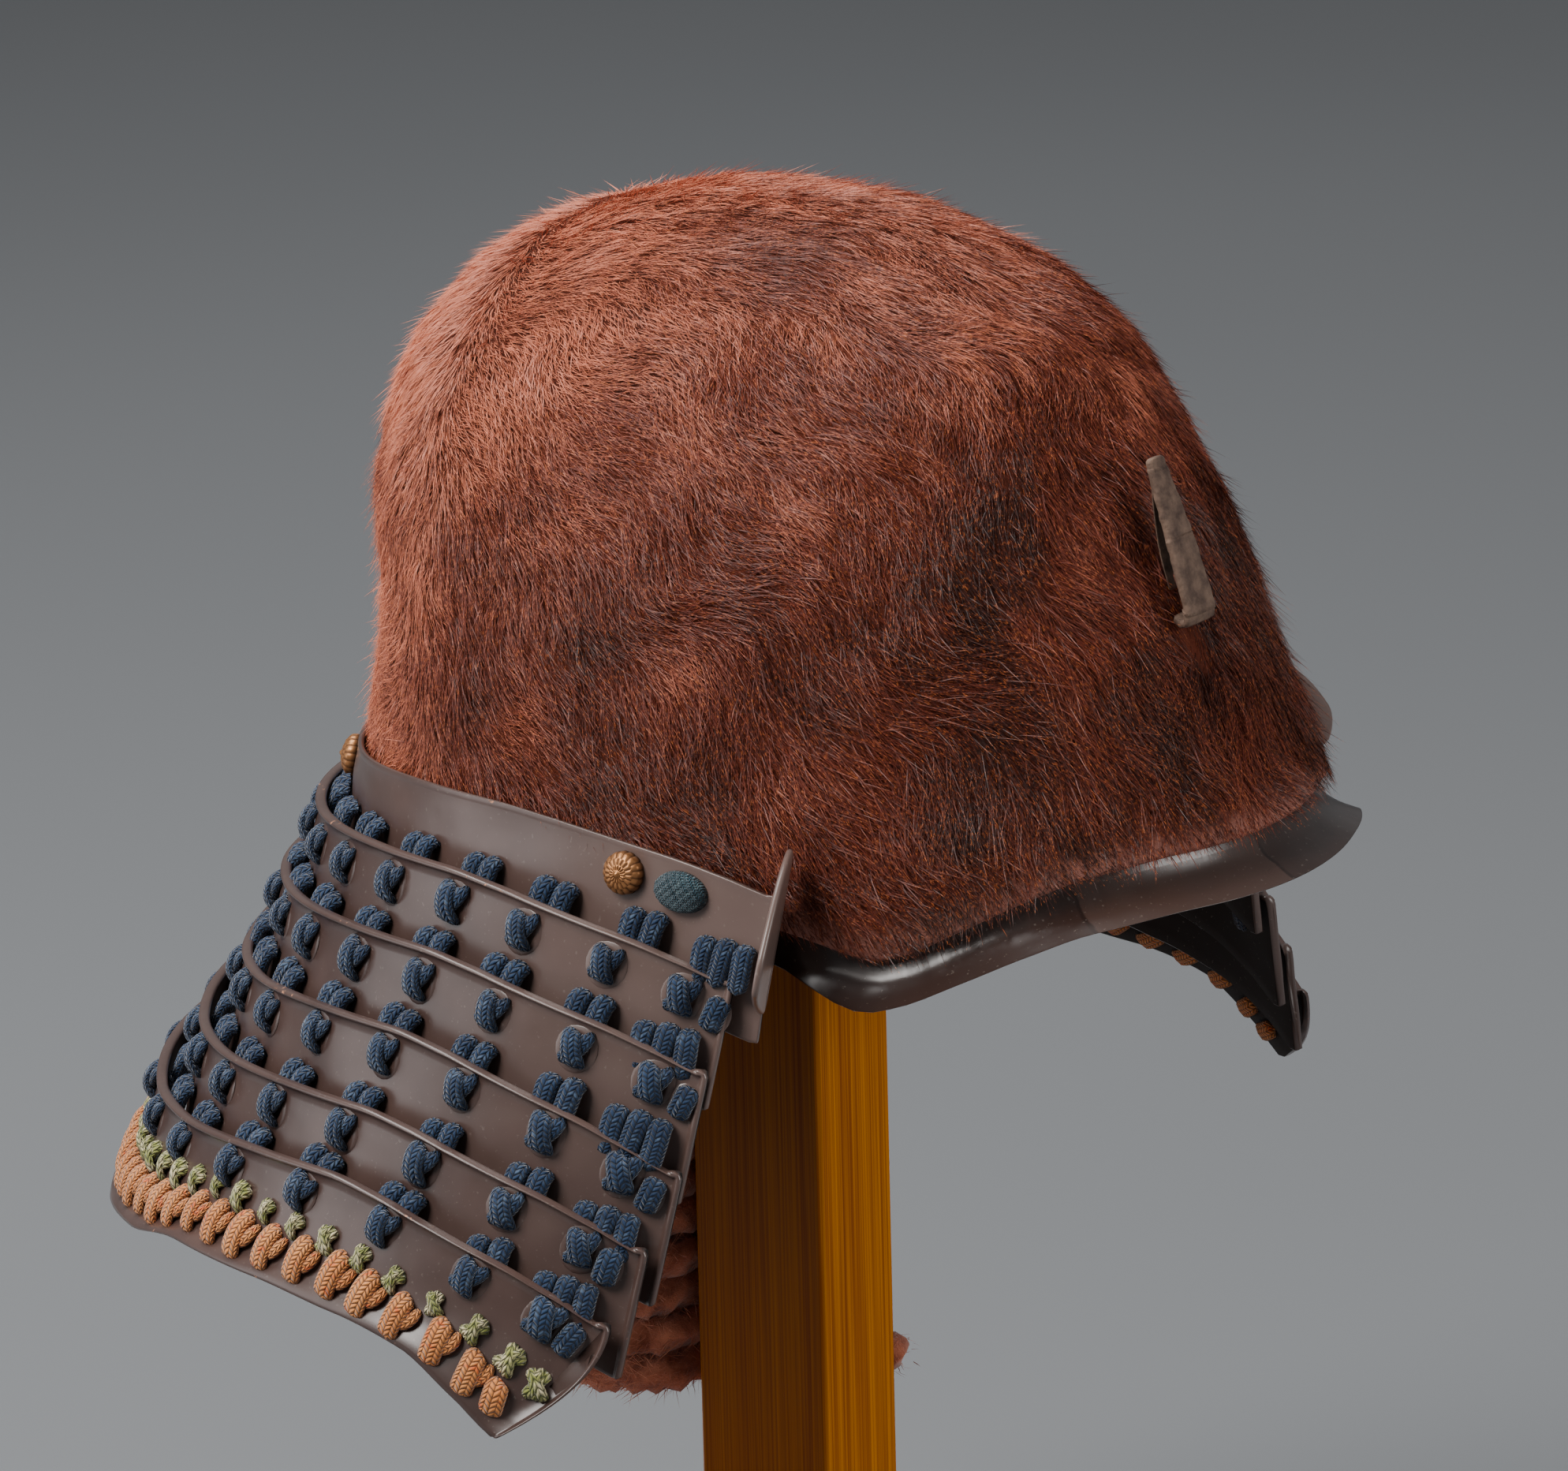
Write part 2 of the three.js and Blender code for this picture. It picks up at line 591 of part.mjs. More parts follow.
// ---------------------------------------------------------------- crest prong and spring
// Flat bar along a table of stations, wide across X and wall thick.
function barGeometry(rows, wall) {
  const points = rows.map((r) => new THREE.Vector3(0, -r.forward, r.height));
  const polygons = points.map((p, n) => {
    const [before, after] = [points[Math.max(0, n - 1)], points[Math.min(points.length - 1, n + 1)]];
    const ahead = after.clone().sub(before).normalize();
    const across = new THREE.Vector3(1, 0, 0);
    const square = across.clone().cross(ahead).multiplyScalar(wall / 2);
    const half = across.multiplyScalar(rows[n].wide / 2);
    return [[-1, -1], [1, -1], [1, 1], [-1, 1]].map(([a, b]) =>
      p.clone().addScaledVector(half, a).addScaledVector(square, b),
    );
  });
  const outline = [[-1, -1], [1, -1], [1, 1], [-1, 1]].map(([x, y]) => new THREE.Vector2(x, y));
  return facingOut(strip(polygons, outline));
}

add(helmet, "crest_prong", barGeometry(prongRows, PRONG_WALL), iron);
add(helmet, "prong_spring", barGeometry(springRows, SPRING_WALL), iron);

// ---------------------------------------------------------------- chin cord
const CORD_SIDES = 8;
const CORD_STEP = 2; // diameters

function cordGeometry(rows, sign) {
  const curve = new THREE.CatmullRomCurve3(rows.map((r) => new THREE.Vector3(sign * r.left, -r.forward, r.height)));
  const section = new THREE.Shape().absarc(0, 0, CORD_DIAMETER / 2, 0, 2 * Math.PI);
  const steps = Math.ceil(curve.getLength() / (CORD_DIAMETER * CORD_STEP));
  return cleaned(
    new THREE.ExtrudeGeometry(section, {
      steps,
      extrudePath: curve,
      bevelEnabled: false,
      curveSegments: CORD_SIDES,
    }),
  );
}

// Upright hank: an oval outline with a rounded top and bottom edge.
function hankGeometry() {
  const { wide, deep, top, bottom, round } = HANK;
  const bevel = round * 0.8;
  const shape = new THREE.Shape().absellipse(0, 0, wide / 2 - bevel, deep / 2 - bevel, 0, 2 * Math.PI);
  const body = new THREE.ExtrudeGeometry(shape, {
    depth: top - bottom - 2 * round,
    curveSegments: 16,
    bevelThickness: round,
    bevelSize: bevel,
    bevelSegments: 2,
  });
  return cleaned(body.translate(0, 0, bottom + round));
}

add(helmet, "chin_cord_hank", hankGeometry(), rustCord, [HANK.left, -HANK.forward, 0]);
add(helmet, "chin_cord_left", cordGeometry(runRows, 1), rustCord);
add(helmet, "chin_cord_right", cordGeometry(runRows, -1), rustCord);
add(helmet, "chin_cord_end", cordGeometry(endRows, 1), rustCord);

// ---------------------------------------------------------------- stand
// Upright board or post: a rectangle with cut corners, pulled up.
function boardGeometry(wide, deep, tall, chamfer) {
  const [x, y, c] = [wide / 2, deep / 2, chamfer];
  const corners = [[-x + c, -y], [x - c, -y], [x, -y + c], [x, y - c], [x - c, y], [-x + c, y], [-x, y - c], [-x, -y + c]];
  const shape = new THREE.Shape(corners.map(([a, b]) => new THREE.Vector2(a, b)));
  return cleaned(new THREE.ExtrudeGeometry(shape, { depth: tall, bevelEnabled: false }));
}

const shellCrown = DATUM_HEIGHT + bowlRows[CROWN_ROW].height - HIDE_WALL - HIDE_GAP - SHELL_WALL;
const headTop = shellCrown - HEAD.belowCrown;
const headFoot = headTop - HEAD.tall;
const postFoot = BASE.tall + GAP;

function headGeometry() {
  const { radius, tall, bevel } = HEAD;
  const profile = [[0, 0], [radius - bevel, 0], [radius, 3], [radius, tall - 6], [radius - bevel, tall], [0, tall]];
  const points = profile.map(([x, y]) => new THREE.Vector2(x, y));
  return facingOut(cleaned(new THREE.LatheGeometry(points, 32).rotateX(Math.PI / 2)));
}

const stand = new THREE.Group();
add(stand, "stand_base", boardGeometry(BASE.wide, BASE.deep, BASE.tall, BASE.chamfer), wood);
add(stand, "stand_post", boardGeometry(POST.wide, POST.deep, headFoot - GAP - postFoot, POST.chamfer), wood, [
  0,
  0,
  postFoot,
]);
add(stand, "stand_head", headGeometry(), wood, [0, 0, headFoot]);

const whole = new THREE.Group();
whole.add(stand, helmet);

export default whole;
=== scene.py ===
"""Samurai helmet on its wooden post stand, dressed for the studio.

A fur-covered iron bowl with a turned-out brim, six laced and lacquered lames hanging behind it, two small
wings, a forged crest prong, rivet heads and knots, and a chin cord wound into a bundle behind the post. Sizes
are in millimetres from the helmet's datum (left, back, height) until a mesh is made, which is in metres.
"""

import bpy
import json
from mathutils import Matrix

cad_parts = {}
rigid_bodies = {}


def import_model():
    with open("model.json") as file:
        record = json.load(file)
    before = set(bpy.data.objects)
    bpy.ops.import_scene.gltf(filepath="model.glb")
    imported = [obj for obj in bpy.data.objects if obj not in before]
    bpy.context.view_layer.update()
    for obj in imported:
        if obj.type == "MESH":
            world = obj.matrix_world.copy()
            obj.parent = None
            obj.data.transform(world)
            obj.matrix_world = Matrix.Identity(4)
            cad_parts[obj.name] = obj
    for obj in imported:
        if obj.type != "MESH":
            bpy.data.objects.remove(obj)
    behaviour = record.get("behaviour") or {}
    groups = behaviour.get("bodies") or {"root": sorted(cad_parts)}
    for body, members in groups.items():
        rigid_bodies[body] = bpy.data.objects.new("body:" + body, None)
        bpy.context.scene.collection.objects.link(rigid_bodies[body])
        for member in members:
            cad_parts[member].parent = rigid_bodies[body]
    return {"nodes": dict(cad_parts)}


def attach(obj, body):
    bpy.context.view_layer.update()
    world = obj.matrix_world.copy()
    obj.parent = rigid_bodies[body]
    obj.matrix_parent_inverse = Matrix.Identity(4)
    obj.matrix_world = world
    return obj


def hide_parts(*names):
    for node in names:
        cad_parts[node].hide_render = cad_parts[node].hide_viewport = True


for _spare in list(bpy.data.objects):
    bpy.data.objects.remove(_spare)
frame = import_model()

import json
import logging
import math
from dataclasses import dataclass, field
from enum import Enum
from typing import Iterable, Sequence

import bmesh
import numpy as np
from mathutils import Matrix, Vector

LOG = logging.getLogger("helmet")
MM = 0.001  # metres in a millimetre
DATUM = np.array([0.0, -9.5, 330.0])  # the helmet's datum in the frame, millimetres

Array = np.ndarray
Colour = tuple[float, float, float]
Strand = Sequence[tuple[float, float, float]]
Piece = bpy.types.Object
Material = bpy.types.Material
Node = bpy.types.Node
Socket = bpy.types.NodeSocket


def srgb(red: float, green: float, blue: float) -> Colour:
    """Linear colour of a display colour given in 0 to 255."""
    return tuple(
        (c / 255 / 12.92) if c / 255 <= 0.04045 else ((c / 255 + 0.055) / 1.055) ** 2.4
        for c in (red, green, blue)
    )


def smooth(value: Array, low: float, high: float) -> Array:
    """Smooth step of value from 0 at low to 1 at high."""
    share = np.clip((np.asarray(value, float) - low) / (high - low), 0, 1)
    return share * share * (3 - 2 * share)


def unit(vectors: Array) -> Array:
    """The vectors at length one."""
    return vectors / np.maximum(np.linalg.norm(vectors, axis=-1, keepdims=True), 1e-9)


def waves(points: Array, scale: float, seed: int, count: int = 14) -> Array:
    """Smooth random field, about -1 to 1, made of plane waves.

    Args:
        points: Places, last axis x, y, z in millimetres.
        scale: Size of its patches in millimetres.
        seed: Fixed seed.
        count: Number of waves.

    Returns:
        The field at each place.
    """
    rng = np.random.default_rng(seed)
    total = np.zeros(points.shape[:-1])
    for _ in range(count):
        heading = unit(rng.normal(size=3)) * (2 * math.pi / scale) * rng.uniform(0.6, 1.6)
        total += np.sin(points @ heading + rng.uniform(0, 2 * math.pi))
    return total / math.sqrt(count)


# ------------------------------ forms
@dataclass(frozen=True)
class Table:
    """A curve through rows, without overshoot (monotone cubic)."""

    keys: tuple[float, ...]
    values: tuple[float, ...]

    def at(self, value: Array) -> Array:
        """The curve's height at a key value.

        Args:
            value: Key values.

        Returns:
            The curve's height at each.
        """
        keys, heights = np.array(self.keys, float), np.array(self.values, float)
        v = np.clip(np.asarray(value, float), keys[0], keys[-1])
        i = np.clip(np.searchsorted(keys, v, side="left") - 1, 0, len(keys) - 2)
        span = np.diff(keys)
        rise = np.diff(heights) / span
        a, b = rise[:-1], rise[1:]
        total = np.where(a + b == 0, 1, a + b)
        tangent = np.concatenate([[0], np.where(a * b <= 0, 0, 2 * a * b / total), [0]])
        s = (v - keys[i]) / span[i]
        return (
            (2 * s**3 - 3 * s**2 + 1) * heights[i]
            + (s**3 - 2 * s**2 + s) * span[i] * tangent[i]
            + (3 * s**2 - 2 * s**3) * heights[i + 1]
            + (s**3 - s**2) * span[i] * tangent[i + 1]
        )


def catmull(a: Array, b: Array, c: Array, d: Array, s: Array) -> Array:
    """Catmull-Rom curve between b and c at a share s, a and d being their neighbours."""
    cubic = (3 * b - a - 3 * c + d) * s**3
    return 0.5 * (2 * b + (c - a) * s + (2 * a - 5 * b + 4 * c - d) * s**2 + cubic)


def from_front(angle: Array) -> Array:
    """Size of a plan angle from the front, 0 to 180 degrees."""
    return np.abs((np.asarray(angle) + 540) % 360 - 180)


def spline(points: Array, count: int) -> Array:
    """Even points on a Catmull-Rom curve through the given ones.

    Args:
        points: Control points, one a row.
        count: Number of points to return.

    Returns:
        Points spaced evenly along the curve.
    """
    points = np.asarray(points, float)
    ends = np.vstack([2 * points[0] - points[1], points, 2 * points[-1] - points[-2]])
    dense = []
    for n in range(1, len(ends) - 2):
        a, b, c, d = ends[n - 1 : n + 3]
        dense.append(catmull(a, b, c, d, np.linspace(0, 1, 40, endpoint=False)[:, None]))
    return resample(np.vstack([*dense, points[-1:]]), count)


def run_along(line: Array) -> Array:
    """Distance of each point along its polyline."""
    return np.concatenate([[0], np.cumsum(np.linalg.norm(np.diff(line, axis=0), axis=1))])


def resample(line: Array, count: int) -> Array:
    """Points spaced evenly along a polyline."""
    run = run_along(line)
    marks = np.linspace(0, run[-1], count)
    return np.stack([np.interp(marks, run, line[:, k]) for k in range(line.shape[1])], axis=1)


def circle(count: int) -> Array:
    """Angles evenly round a circle, from 0."""
    return np.linspace(0, 2 * math.pi, count, endpoint=False)


def oval(turn: Array, wide: float, tall: float, high: Array | float) -> Array:
    """An oval of two half axes at a height, in a frame of its own."""
    return np.column_stack([wide * np.cos(turn), tall * np.sin(turn), 0 * turn + high])


def length_of(line: Array) -> float:
    """Length of a polyline."""
    return float(run_along(line)[-1])


@dataclass(frozen=True)
class BowlForm:
    """Outer form of the fur-covered bowl: half sections from the rim to the crown."""

    height: tuple[float, ...] = (-24, 0, 24, 56, 77, 97, 116, 132, 143, 147.5, 148.5)
    front: tuple[float, ...] = (158, 143.5, 129.5, 114, 104, 93.5, 79, 55, 25.5, 0, -18)
    back: tuple[float, ...] = (124, 120, 115, 111.5, 111.5, 109, 100, 85, 61, 36, 18)
    side: tuple[float, ...] = (104, 104.5, 105.5, 105, 102.5, 97, 86.5, 67.5, 42, 18, 0)
    edge: Table = Table(
        (0, 17, 32, 41, 50, 57, 61, 66, 72, 105, 144, 180),
        (5, 5, 2.5, -2, -8.5, -14, -15.8, -12.5, -9, -5, -8, -12),
    )

    @property
    def crown(self) -> int:
        """Row position of the crown."""
        return len(self.height) - 1

    def column(self, name: str, position: Array) -> Array:
        """One column of the rows at a position that may fall between them (Catmull-Rom).

        Args:
            name: The column: height, front, back or side.
            position: Row positions.

        Returns:
            Its values there.
        """
        rows = np.array(getattr(self, name), float)
        position = np.asarray(position, float)
        i = np.clip(np.floor(position).astype(int), 0, self.crown - 1)
        s = position - i
        a, b, c, d = (rows[np.clip(i + k, 0, self.crown)] for k in (-1, 0, 1, 2))
        return catmull(a, b, c, d, s)

    def surface(self, position: Array, angle: Array) -> Array:
        """Point of the outer form at a row position and a plan angle in degrees from the front.

        Args:
            position: Row positions.
            angle: Plan angles in degrees from the front.

        Returns:
            Places, last axis left, back, height.
        """
        front, back = self.column("front", position), self.column("back", position)
        turn = np.radians(angle)
        forward = (front - back) / 2 + (front + back) / 2 * np.cos(turn)
        left = self.column("side", position) * np.sin(turn)
        return np.stack(np.broadcast_arrays(left, -forward, self.column("height", position)), axis=-1)

    def outward(self, position: Array, angle: Array) -> Array:
        """Direction straight out of the outer form."""
        low = np.minimum(position, self.crown - 0.05)
        up = self.surface(low + 0.02, angle) - self.surface(low - 0.02, angle)
        turn = self.surface(low, angle + 0.5) - self.surface(low, angle - 0.5)
        return unit(np.cross(turn, up))

    def point(self, position: Array, angle: Array, inset: float | Array) -> Array:
        """Point of the form moved inwards, square to the surface.

        Args:
            position: Row positions.
            angle: Plan angles.
            inset: How far in.

        Returns:
            Places.
        """
        moved = self.surface(position, angle) - self.outward(position, angle) * np.asarray(inset)[..., None]
        crown = np.asarray(position >= self.crown - 1e-6)[..., None]
        top = self.surface(position, angle) - np.stack(
            np.broadcast_arrays(0, 0, np.asarray(inset) + 0 * moved[..., 2]), axis=-1
        )
        return np.where(crown, top, moved)

    def edge_height(self, angle: Array) -> Array:
        """Height of the hide's lower edge at a plan angle."""
        return self.edge.at(from_front(angle))

    def position_at(self, height: Array) -> Array:
        """Row position at which the form reaches a height."""
        steps = np.linspace(0, self.crown, 4001)
        return np.interp(height, self.column("height", steps), steps)


@dataclass(frozen=True)
class LameForm:
    """One lame of the neck guard: half axes of its top edge, its ends, and its rise and sag."""

    back: float
    side: float
    front: float
    end: float
    peak: float
    dip: float
    sag: float
    tall: float
    slope: float
    bead: float = 1.5
    is_last: bool = False
    wall: float = 1.5
    ring_front: float = 129.0
    corner: float = 2.5
    rake: float = 0.1
    sweep: float = 20.0
    hem_flare: float = 6.5

    ARCH = (0, 0.05, 0.1, 0.15, 0.2, 0.25, 0.32, 0.42, 0.67, 1)
    ARCH_DIP = Table(ARCH, (1, 0.77, 0.54, 0.37, 0.22, 0.09, 0, 0, 0, 0))
    ARCH_SAG = Table(ARCH, (0, 0, 0, 0, 0, 0, 0, 0.08, 0.63, 1))
    HEM = Table(
        (0, 0.05, 0.11, 0.18, 0.3, 0.45, 0.61, 1),
        (-125.5, -117, -107, -101.6, -98.6, -99.4, -106.2, -113),
    )

    def along(self, forward: Array) -> Array:
        """Share of the way from the front edge to the middle of the back at a distance forward."""
        start = math.acos(self.end / self.ring_front)
        here = np.arccos(np.clip(forward / self.ring_front, -1, 1))
        return np.clip((here - start) / (math.pi - start), 0, 1)

    def end_at(self, down: Array) -> Array:
        """How far forward the front edge stands at a distance below the top edge."""
        inside = self.corner - np.minimum(down, self.corner)
        corner = self.corner - np.sqrt(self.corner**2 - inside**2)
        if self.is_last:
            return self.end - corner - self.sweep * np.clip(down / self.tall, 0, 1) ** 2.2
        return self.end - corner - self.rake * down

    def top_and_tall(self, turn: Array) -> tuple[Array, Array]:
        """Height of the top edge and the lame's height there.

        Args:
            turn: From -1 at the right front edge to 1.

        Returns:
            Both, at each turn.
        """
        top_angle = math.pi - (math.pi - math.acos(self.end / self.front)) * np.abs(turn)
        axis = np.where(top_angle > math.pi / 2, self.back, self.front)
        along = self.along(axis * np.cos(top_angle))
        top = self.peak - self.dip * self.ARCH_DIP.at(along) - self.sag * self.ARCH_SAG.at(along)
        tall = top - self.HEM.at(along) if self.is_last else self.tall + 0 * top
        return top, tall

    def flare(self, down: Array, share: Array) -> Array:
        """How far the face has spread at a distance and a share below the top edge."""
        return self.slope * down + (self.hem_flare * np.maximum(share, 0) ** 3 if self.is_last else 0)

    def point(self, turn: Array, down: Array, out: Array, back: Array = 0.0) -> Array:
        """A point of the lame.

        Args:
            turn: From -1 at the right front edge over 0 at the middle of the back to 1.
            down: Distance below the top edge.
            out: Distance out from the outer face.
            back: Distance back from the front edge.

        Returns:
            Places, last axis left, back, height.
        """
        top, tall = self.top_and_tall(turn)
        share = down / tall
        flare = self.flare(down, share)
        end = self.end_at(np.maximum(share, 0) * self.tall) - back
        front = self.front + flare
        end_angle = np.arccos(end / front)
        angle = math.pi - (math.pi - end_angle) * np.abs(turn)
        axis = np.where(angle > math.pi / 2, self.back + flare, front)
        forward = (axis + out) * np.cos(angle)
        left = np.where(turn < 0, -1, 1) * (self.side + flare + out) * np.sin(angle)
        return np.stack(np.broadcast_arrays(left, -forward, top - down), axis=-1)

    def turn_at(self, angle: float, down: float) -> float:
        """The turn at which a plan angle in degrees lies, its sign being the side.

        Args:
            angle: Plan angle from the front, negative on the right.
            down: Distance below the top edge.

        Returns:
            The turn.
        """
        _, tall = self.top_and_tall(np.array(math.copysign(1.0, angle)))
        share = down / float(tall)
        flare = float(self.flare(down, share))
        end = float(self.end_at(np.array(max(share, 0) * self.tall)))
        end_angle = math.degrees(math.acos(end / (self.front + flare)))
        return math.copysign((180 - abs(angle)) / (180 - end_angle), angle)

    def frame_at(self, angle: float, down: float, out: float = 0.0) -> Matrix:
        """Frame on the outer face at a plan angle: x along the lame, y up its face, z out of it."""
        return self.frame_at_turn(self.turn_at(angle, down), down, out)

    def frame_at_turn(self, turn: float, down: float, out: float = 0.0) -> Matrix:
        """The same frame at a turn.

        Args:
            turn: From -1 at the right front edge to 1.
            down: Distance below the top edge.
            out: Distance out from the outer face.

        Returns:
            The frame.
        """
        at = lambda t, d: Vector(self.point(np.array(t), np.array(d), np.array(0.0)))
        up = (at(turn, down - 0.7) - at(turn, down + 0.7)).normalized()
        step = 0.01 if turn < 0.98 else -0.01
        round_ = (at(turn + step, down) - at(turn, down)).normalized() * (1 if step > 0 else -1)
        outward = round_.cross(up).normalized()
        middle = at(turn, down)
        if outward.dot(Vector((middle.x, middle.y, 0))) < 0:
            outward.negate()
        across = up.cross(outward)
        matrix = Matrix((across, up, outward)).transposed().to_4x4()
        matrix.translation = middle + outward * out
        return matrix


BOWL = BowlForm()
LAMES = (
    LameForm(121.8, 107.5, 200, 63, 12.6, 12.5, 12, 37, 0.16, bead=0.15),
    LameForm(129.8, 121.5, 129, 54.5, -1.9, 18.6, 9, 32, 0.22),
    LameForm(138, 133.5, 129, 54, -19.6, 21.5, 8.5, 33, 0.22),
    LameForm(148, 145.5, 129, 53.5, -37.7, 26.8, 10.5, 33, 0.22),
    LameForm(160, 157, 129, 51, -55.6, 26, 8.5, 32, 0.22),
    LameForm(171.5, 168.5, 129, 47.8, -70, 28.2, 9.5, 32, 0.24, is_last=True),
)


# ------------------------------ meshes
@dataclass
class MeshWork:
    """Points, faces and per-point marks gathered for one piece, in millimetres from the helmet's datum."""

    points: list[Array] = field(default_factory=list)
    faces: list[Sequence[int]] = field(default_factory=list)
    maps: list[Array] = field(default_factory=list)
    marks: list[Array] = field(default_factory=list)
    count: int = 0

    def add(
        self, points: Array, faces: Iterable[Sequence[int]],
        uv: Array | None = None, mark: Array | float = 0.0,
    ) -> None:
        """Adds a set of points and the faces between them.

        Args:
            points: Places, one a row.
            faces: Corner numbers within this set.
            uv: Map position of each point.
            mark: Wear mark of each point.
        """
        points = np.asarray(points, float).reshape(-1, 3)
        self.points.append(points)
        self.faces.extend([tuple(int(i) + self.count for i in f) for f in faces])
        self.maps.append(np.zeros((len(points), 2)) if uv is None else np.asarray(uv, float).reshape(-1, 2))
        self.marks.append(np.broadcast_to(np.asarray(mark, float), (len(points),)))
        self.count += len(points)

    def grid(
        self, rings: Array, uv: Array | None = None, mark: Array | float = 0.0,
        closed: bool = True, capped: bool = False,
    ) -> None:
        """Adds quads through rings of points.

        Args:
            rings: Array of rings, points and coordinates.
            uv: Map position of each point.
            mark: Wear mark of each point.
            closed: Whether each ring joins its own start.
            capped: Whether the first and last ring are filled.
        """
        count, around = rings.shape[:2]
        faces = []
        span = around if closed else around - 1
        for r in range(count - 1):
            for n in range(span):
                here, m = r * around, (n + 1) % around
                faces.append((here + n, here + m, here + around + m, here + around + n))
        if capped:
            faces.append(tuple(range(around))[::-1])
            faces.append(tuple((count - 1) * around + n for n in range(around)))
        self.add(rings, faces, uv, np.broadcast_to(np.asarray(mark, float), (count, around)).reshape(-1))

    def turned(
        self, rings: Array, matrix: Matrix, uv: Array | None = None, mark: Array | float = 0.0
    ) -> None:
        """Adds quads through rings that are given in a frame of their own."""
        self.grid(rings @ np.array(matrix.to_3x3()).T + np.array(matrix.translation), uv, mark)

    def piece(self, name: str, material: Material, fix: bool = True, datum: Array = DATUM) -> Piece:
        """Makes the gathered mesh an object at the origin, in metres.

        Args:
            name: The piece's name.
            material: Its finish.
            fix: Whether doubles are merged and the faces turned outwards.
            datum: Place of the points' origin in the frame, millimetres.

        Returns:
            The new object.
        """
        points = (np.vstack(self.points) + datum) * MM
        mesh = bpy.data.meshes.new(name)
        mesh.from_pydata(points.tolist(), [], self.faces)
        mark = mesh.attributes.new("mark", "FLOAT", "POINT")
        mark.data.foreach_set("value", np.concatenate(self.marks).astype(np.float32))
        layer = mesh.uv_layers.new(name="UVMap")
        corners = np.empty(len(mesh.loops), dtype=np.int32)
        mesh.loops.foreach_get("vertex_index", corners)
        layer.data.foreach_set("uv", np.vstack(self.maps)[corners].astype(np.float32).ravel())
        mesh.validate()
        if fix:
            shape = bmesh.new()
            shape.from_mesh(mesh)
            bmesh.ops.remove_doubles(shape, verts=shape.verts, dist=1e-6)
            bmesh.ops.recalc_face_normals(shape, faces=shape.faces)
            shape.to_mesh(mesh)
            shape.free()
        mesh.polygons.foreach_set("use_smooth", np.ones(len(mesh.polygons), dtype=bool))
        mesh.materials.append(material)
        made = bpy.data.objects.new(name, mesh)
        bpy.context.scene.collection.objects.link(made)
        return made


def settle(piece: Piece, slot: str, *nodes: str) -> None:
    """Lets a finished piece ride on the body and hides the nodes that it stands for.

    Args:
        piece: The piece.
        slot: Not used.
        nodes: Solids that it stands for.
    """
    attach(piece, "root")
    if nodes:
        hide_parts(*nodes)
    LOG.info("%s: %d faces", piece.name, len(piece.data.polygons))


def tube(
    line: Array, wide: Array | float, thick: Array | float, sides: int, upward: Array | None = None,
    ribs: tuple[int, float, float] = (0, 1.0, 0.0), round_ends: bool = True,
) -> tuple[Array, Array]:
    """Rings of a flattened tube along a line.

    Args:
        line: Even points along its middle.
        wide: Half width across the line.
        thick: Half thickness.
        sides: Points round a ring.
        upward: Direction of the thickness, one for the line or one a point.
        ribs: Number of strands, pitch of their twist and height.
        round_ends: Whether the ends draw in to a point.

    Returns:
        The rings and their map positions.
    """
    count = len(line)
    ahead = unit(np.gradient(line, axis=0))
    if upward is None:
        normal = [unit(np.cross(ahead[0], np.array([0.3, 0.2, 1.0])))]
        for n in range(1, count):
            kept = normal[-1] - ahead[n] * np.dot(normal[-1], ahead[n])
            normal.append(unit(kept))
        normal = np.array(normal)
    else:
        normal = np.broadcast_to(np.asarray(upward, float), (count, 3))
        normal = unit(normal - ahead * np.sum(normal * ahead, axis=1, keepdims=True))
    across = np.cross(ahead, normal)
    run = run_along(line)
    turn = circle(sides)
    strands, pitch, height = ribs
    swell = 1 + height * np.abs(np.sin((strands * (turn[None, :] + 2 * math.pi * run[:, None] / pitch)) / 2))
    taper = np.ones(count)
    if round_ends:
        reach = float(np.max(thick)) * 1.4
        near = np.minimum(run, run[-1] - run) / reach
        taper = np.sqrt(np.clip(1 - (1 - np.clip(near, 0, 1)) ** 2, 0.0004, 1))
    half_wide = (np.broadcast_to(wide, (count,)) * taper)[:, None] * swell
    half_thick = (np.broadcast_to(thick, (count,)) * taper)[:, None] * swell
    rings = (
        line[:, None, :]
        + across[:, None, :] * (half_wide * np.cos(turn))[..., None]
        + normal[:, None, :] * (half_thick * np.sin(turn))[..., None]
    )
    uv = np.stack(np.broadcast_arrays(turn[None, :] / (2 * math.pi), run[:, None] * 0.1), axis=-1)
    return rings, uv


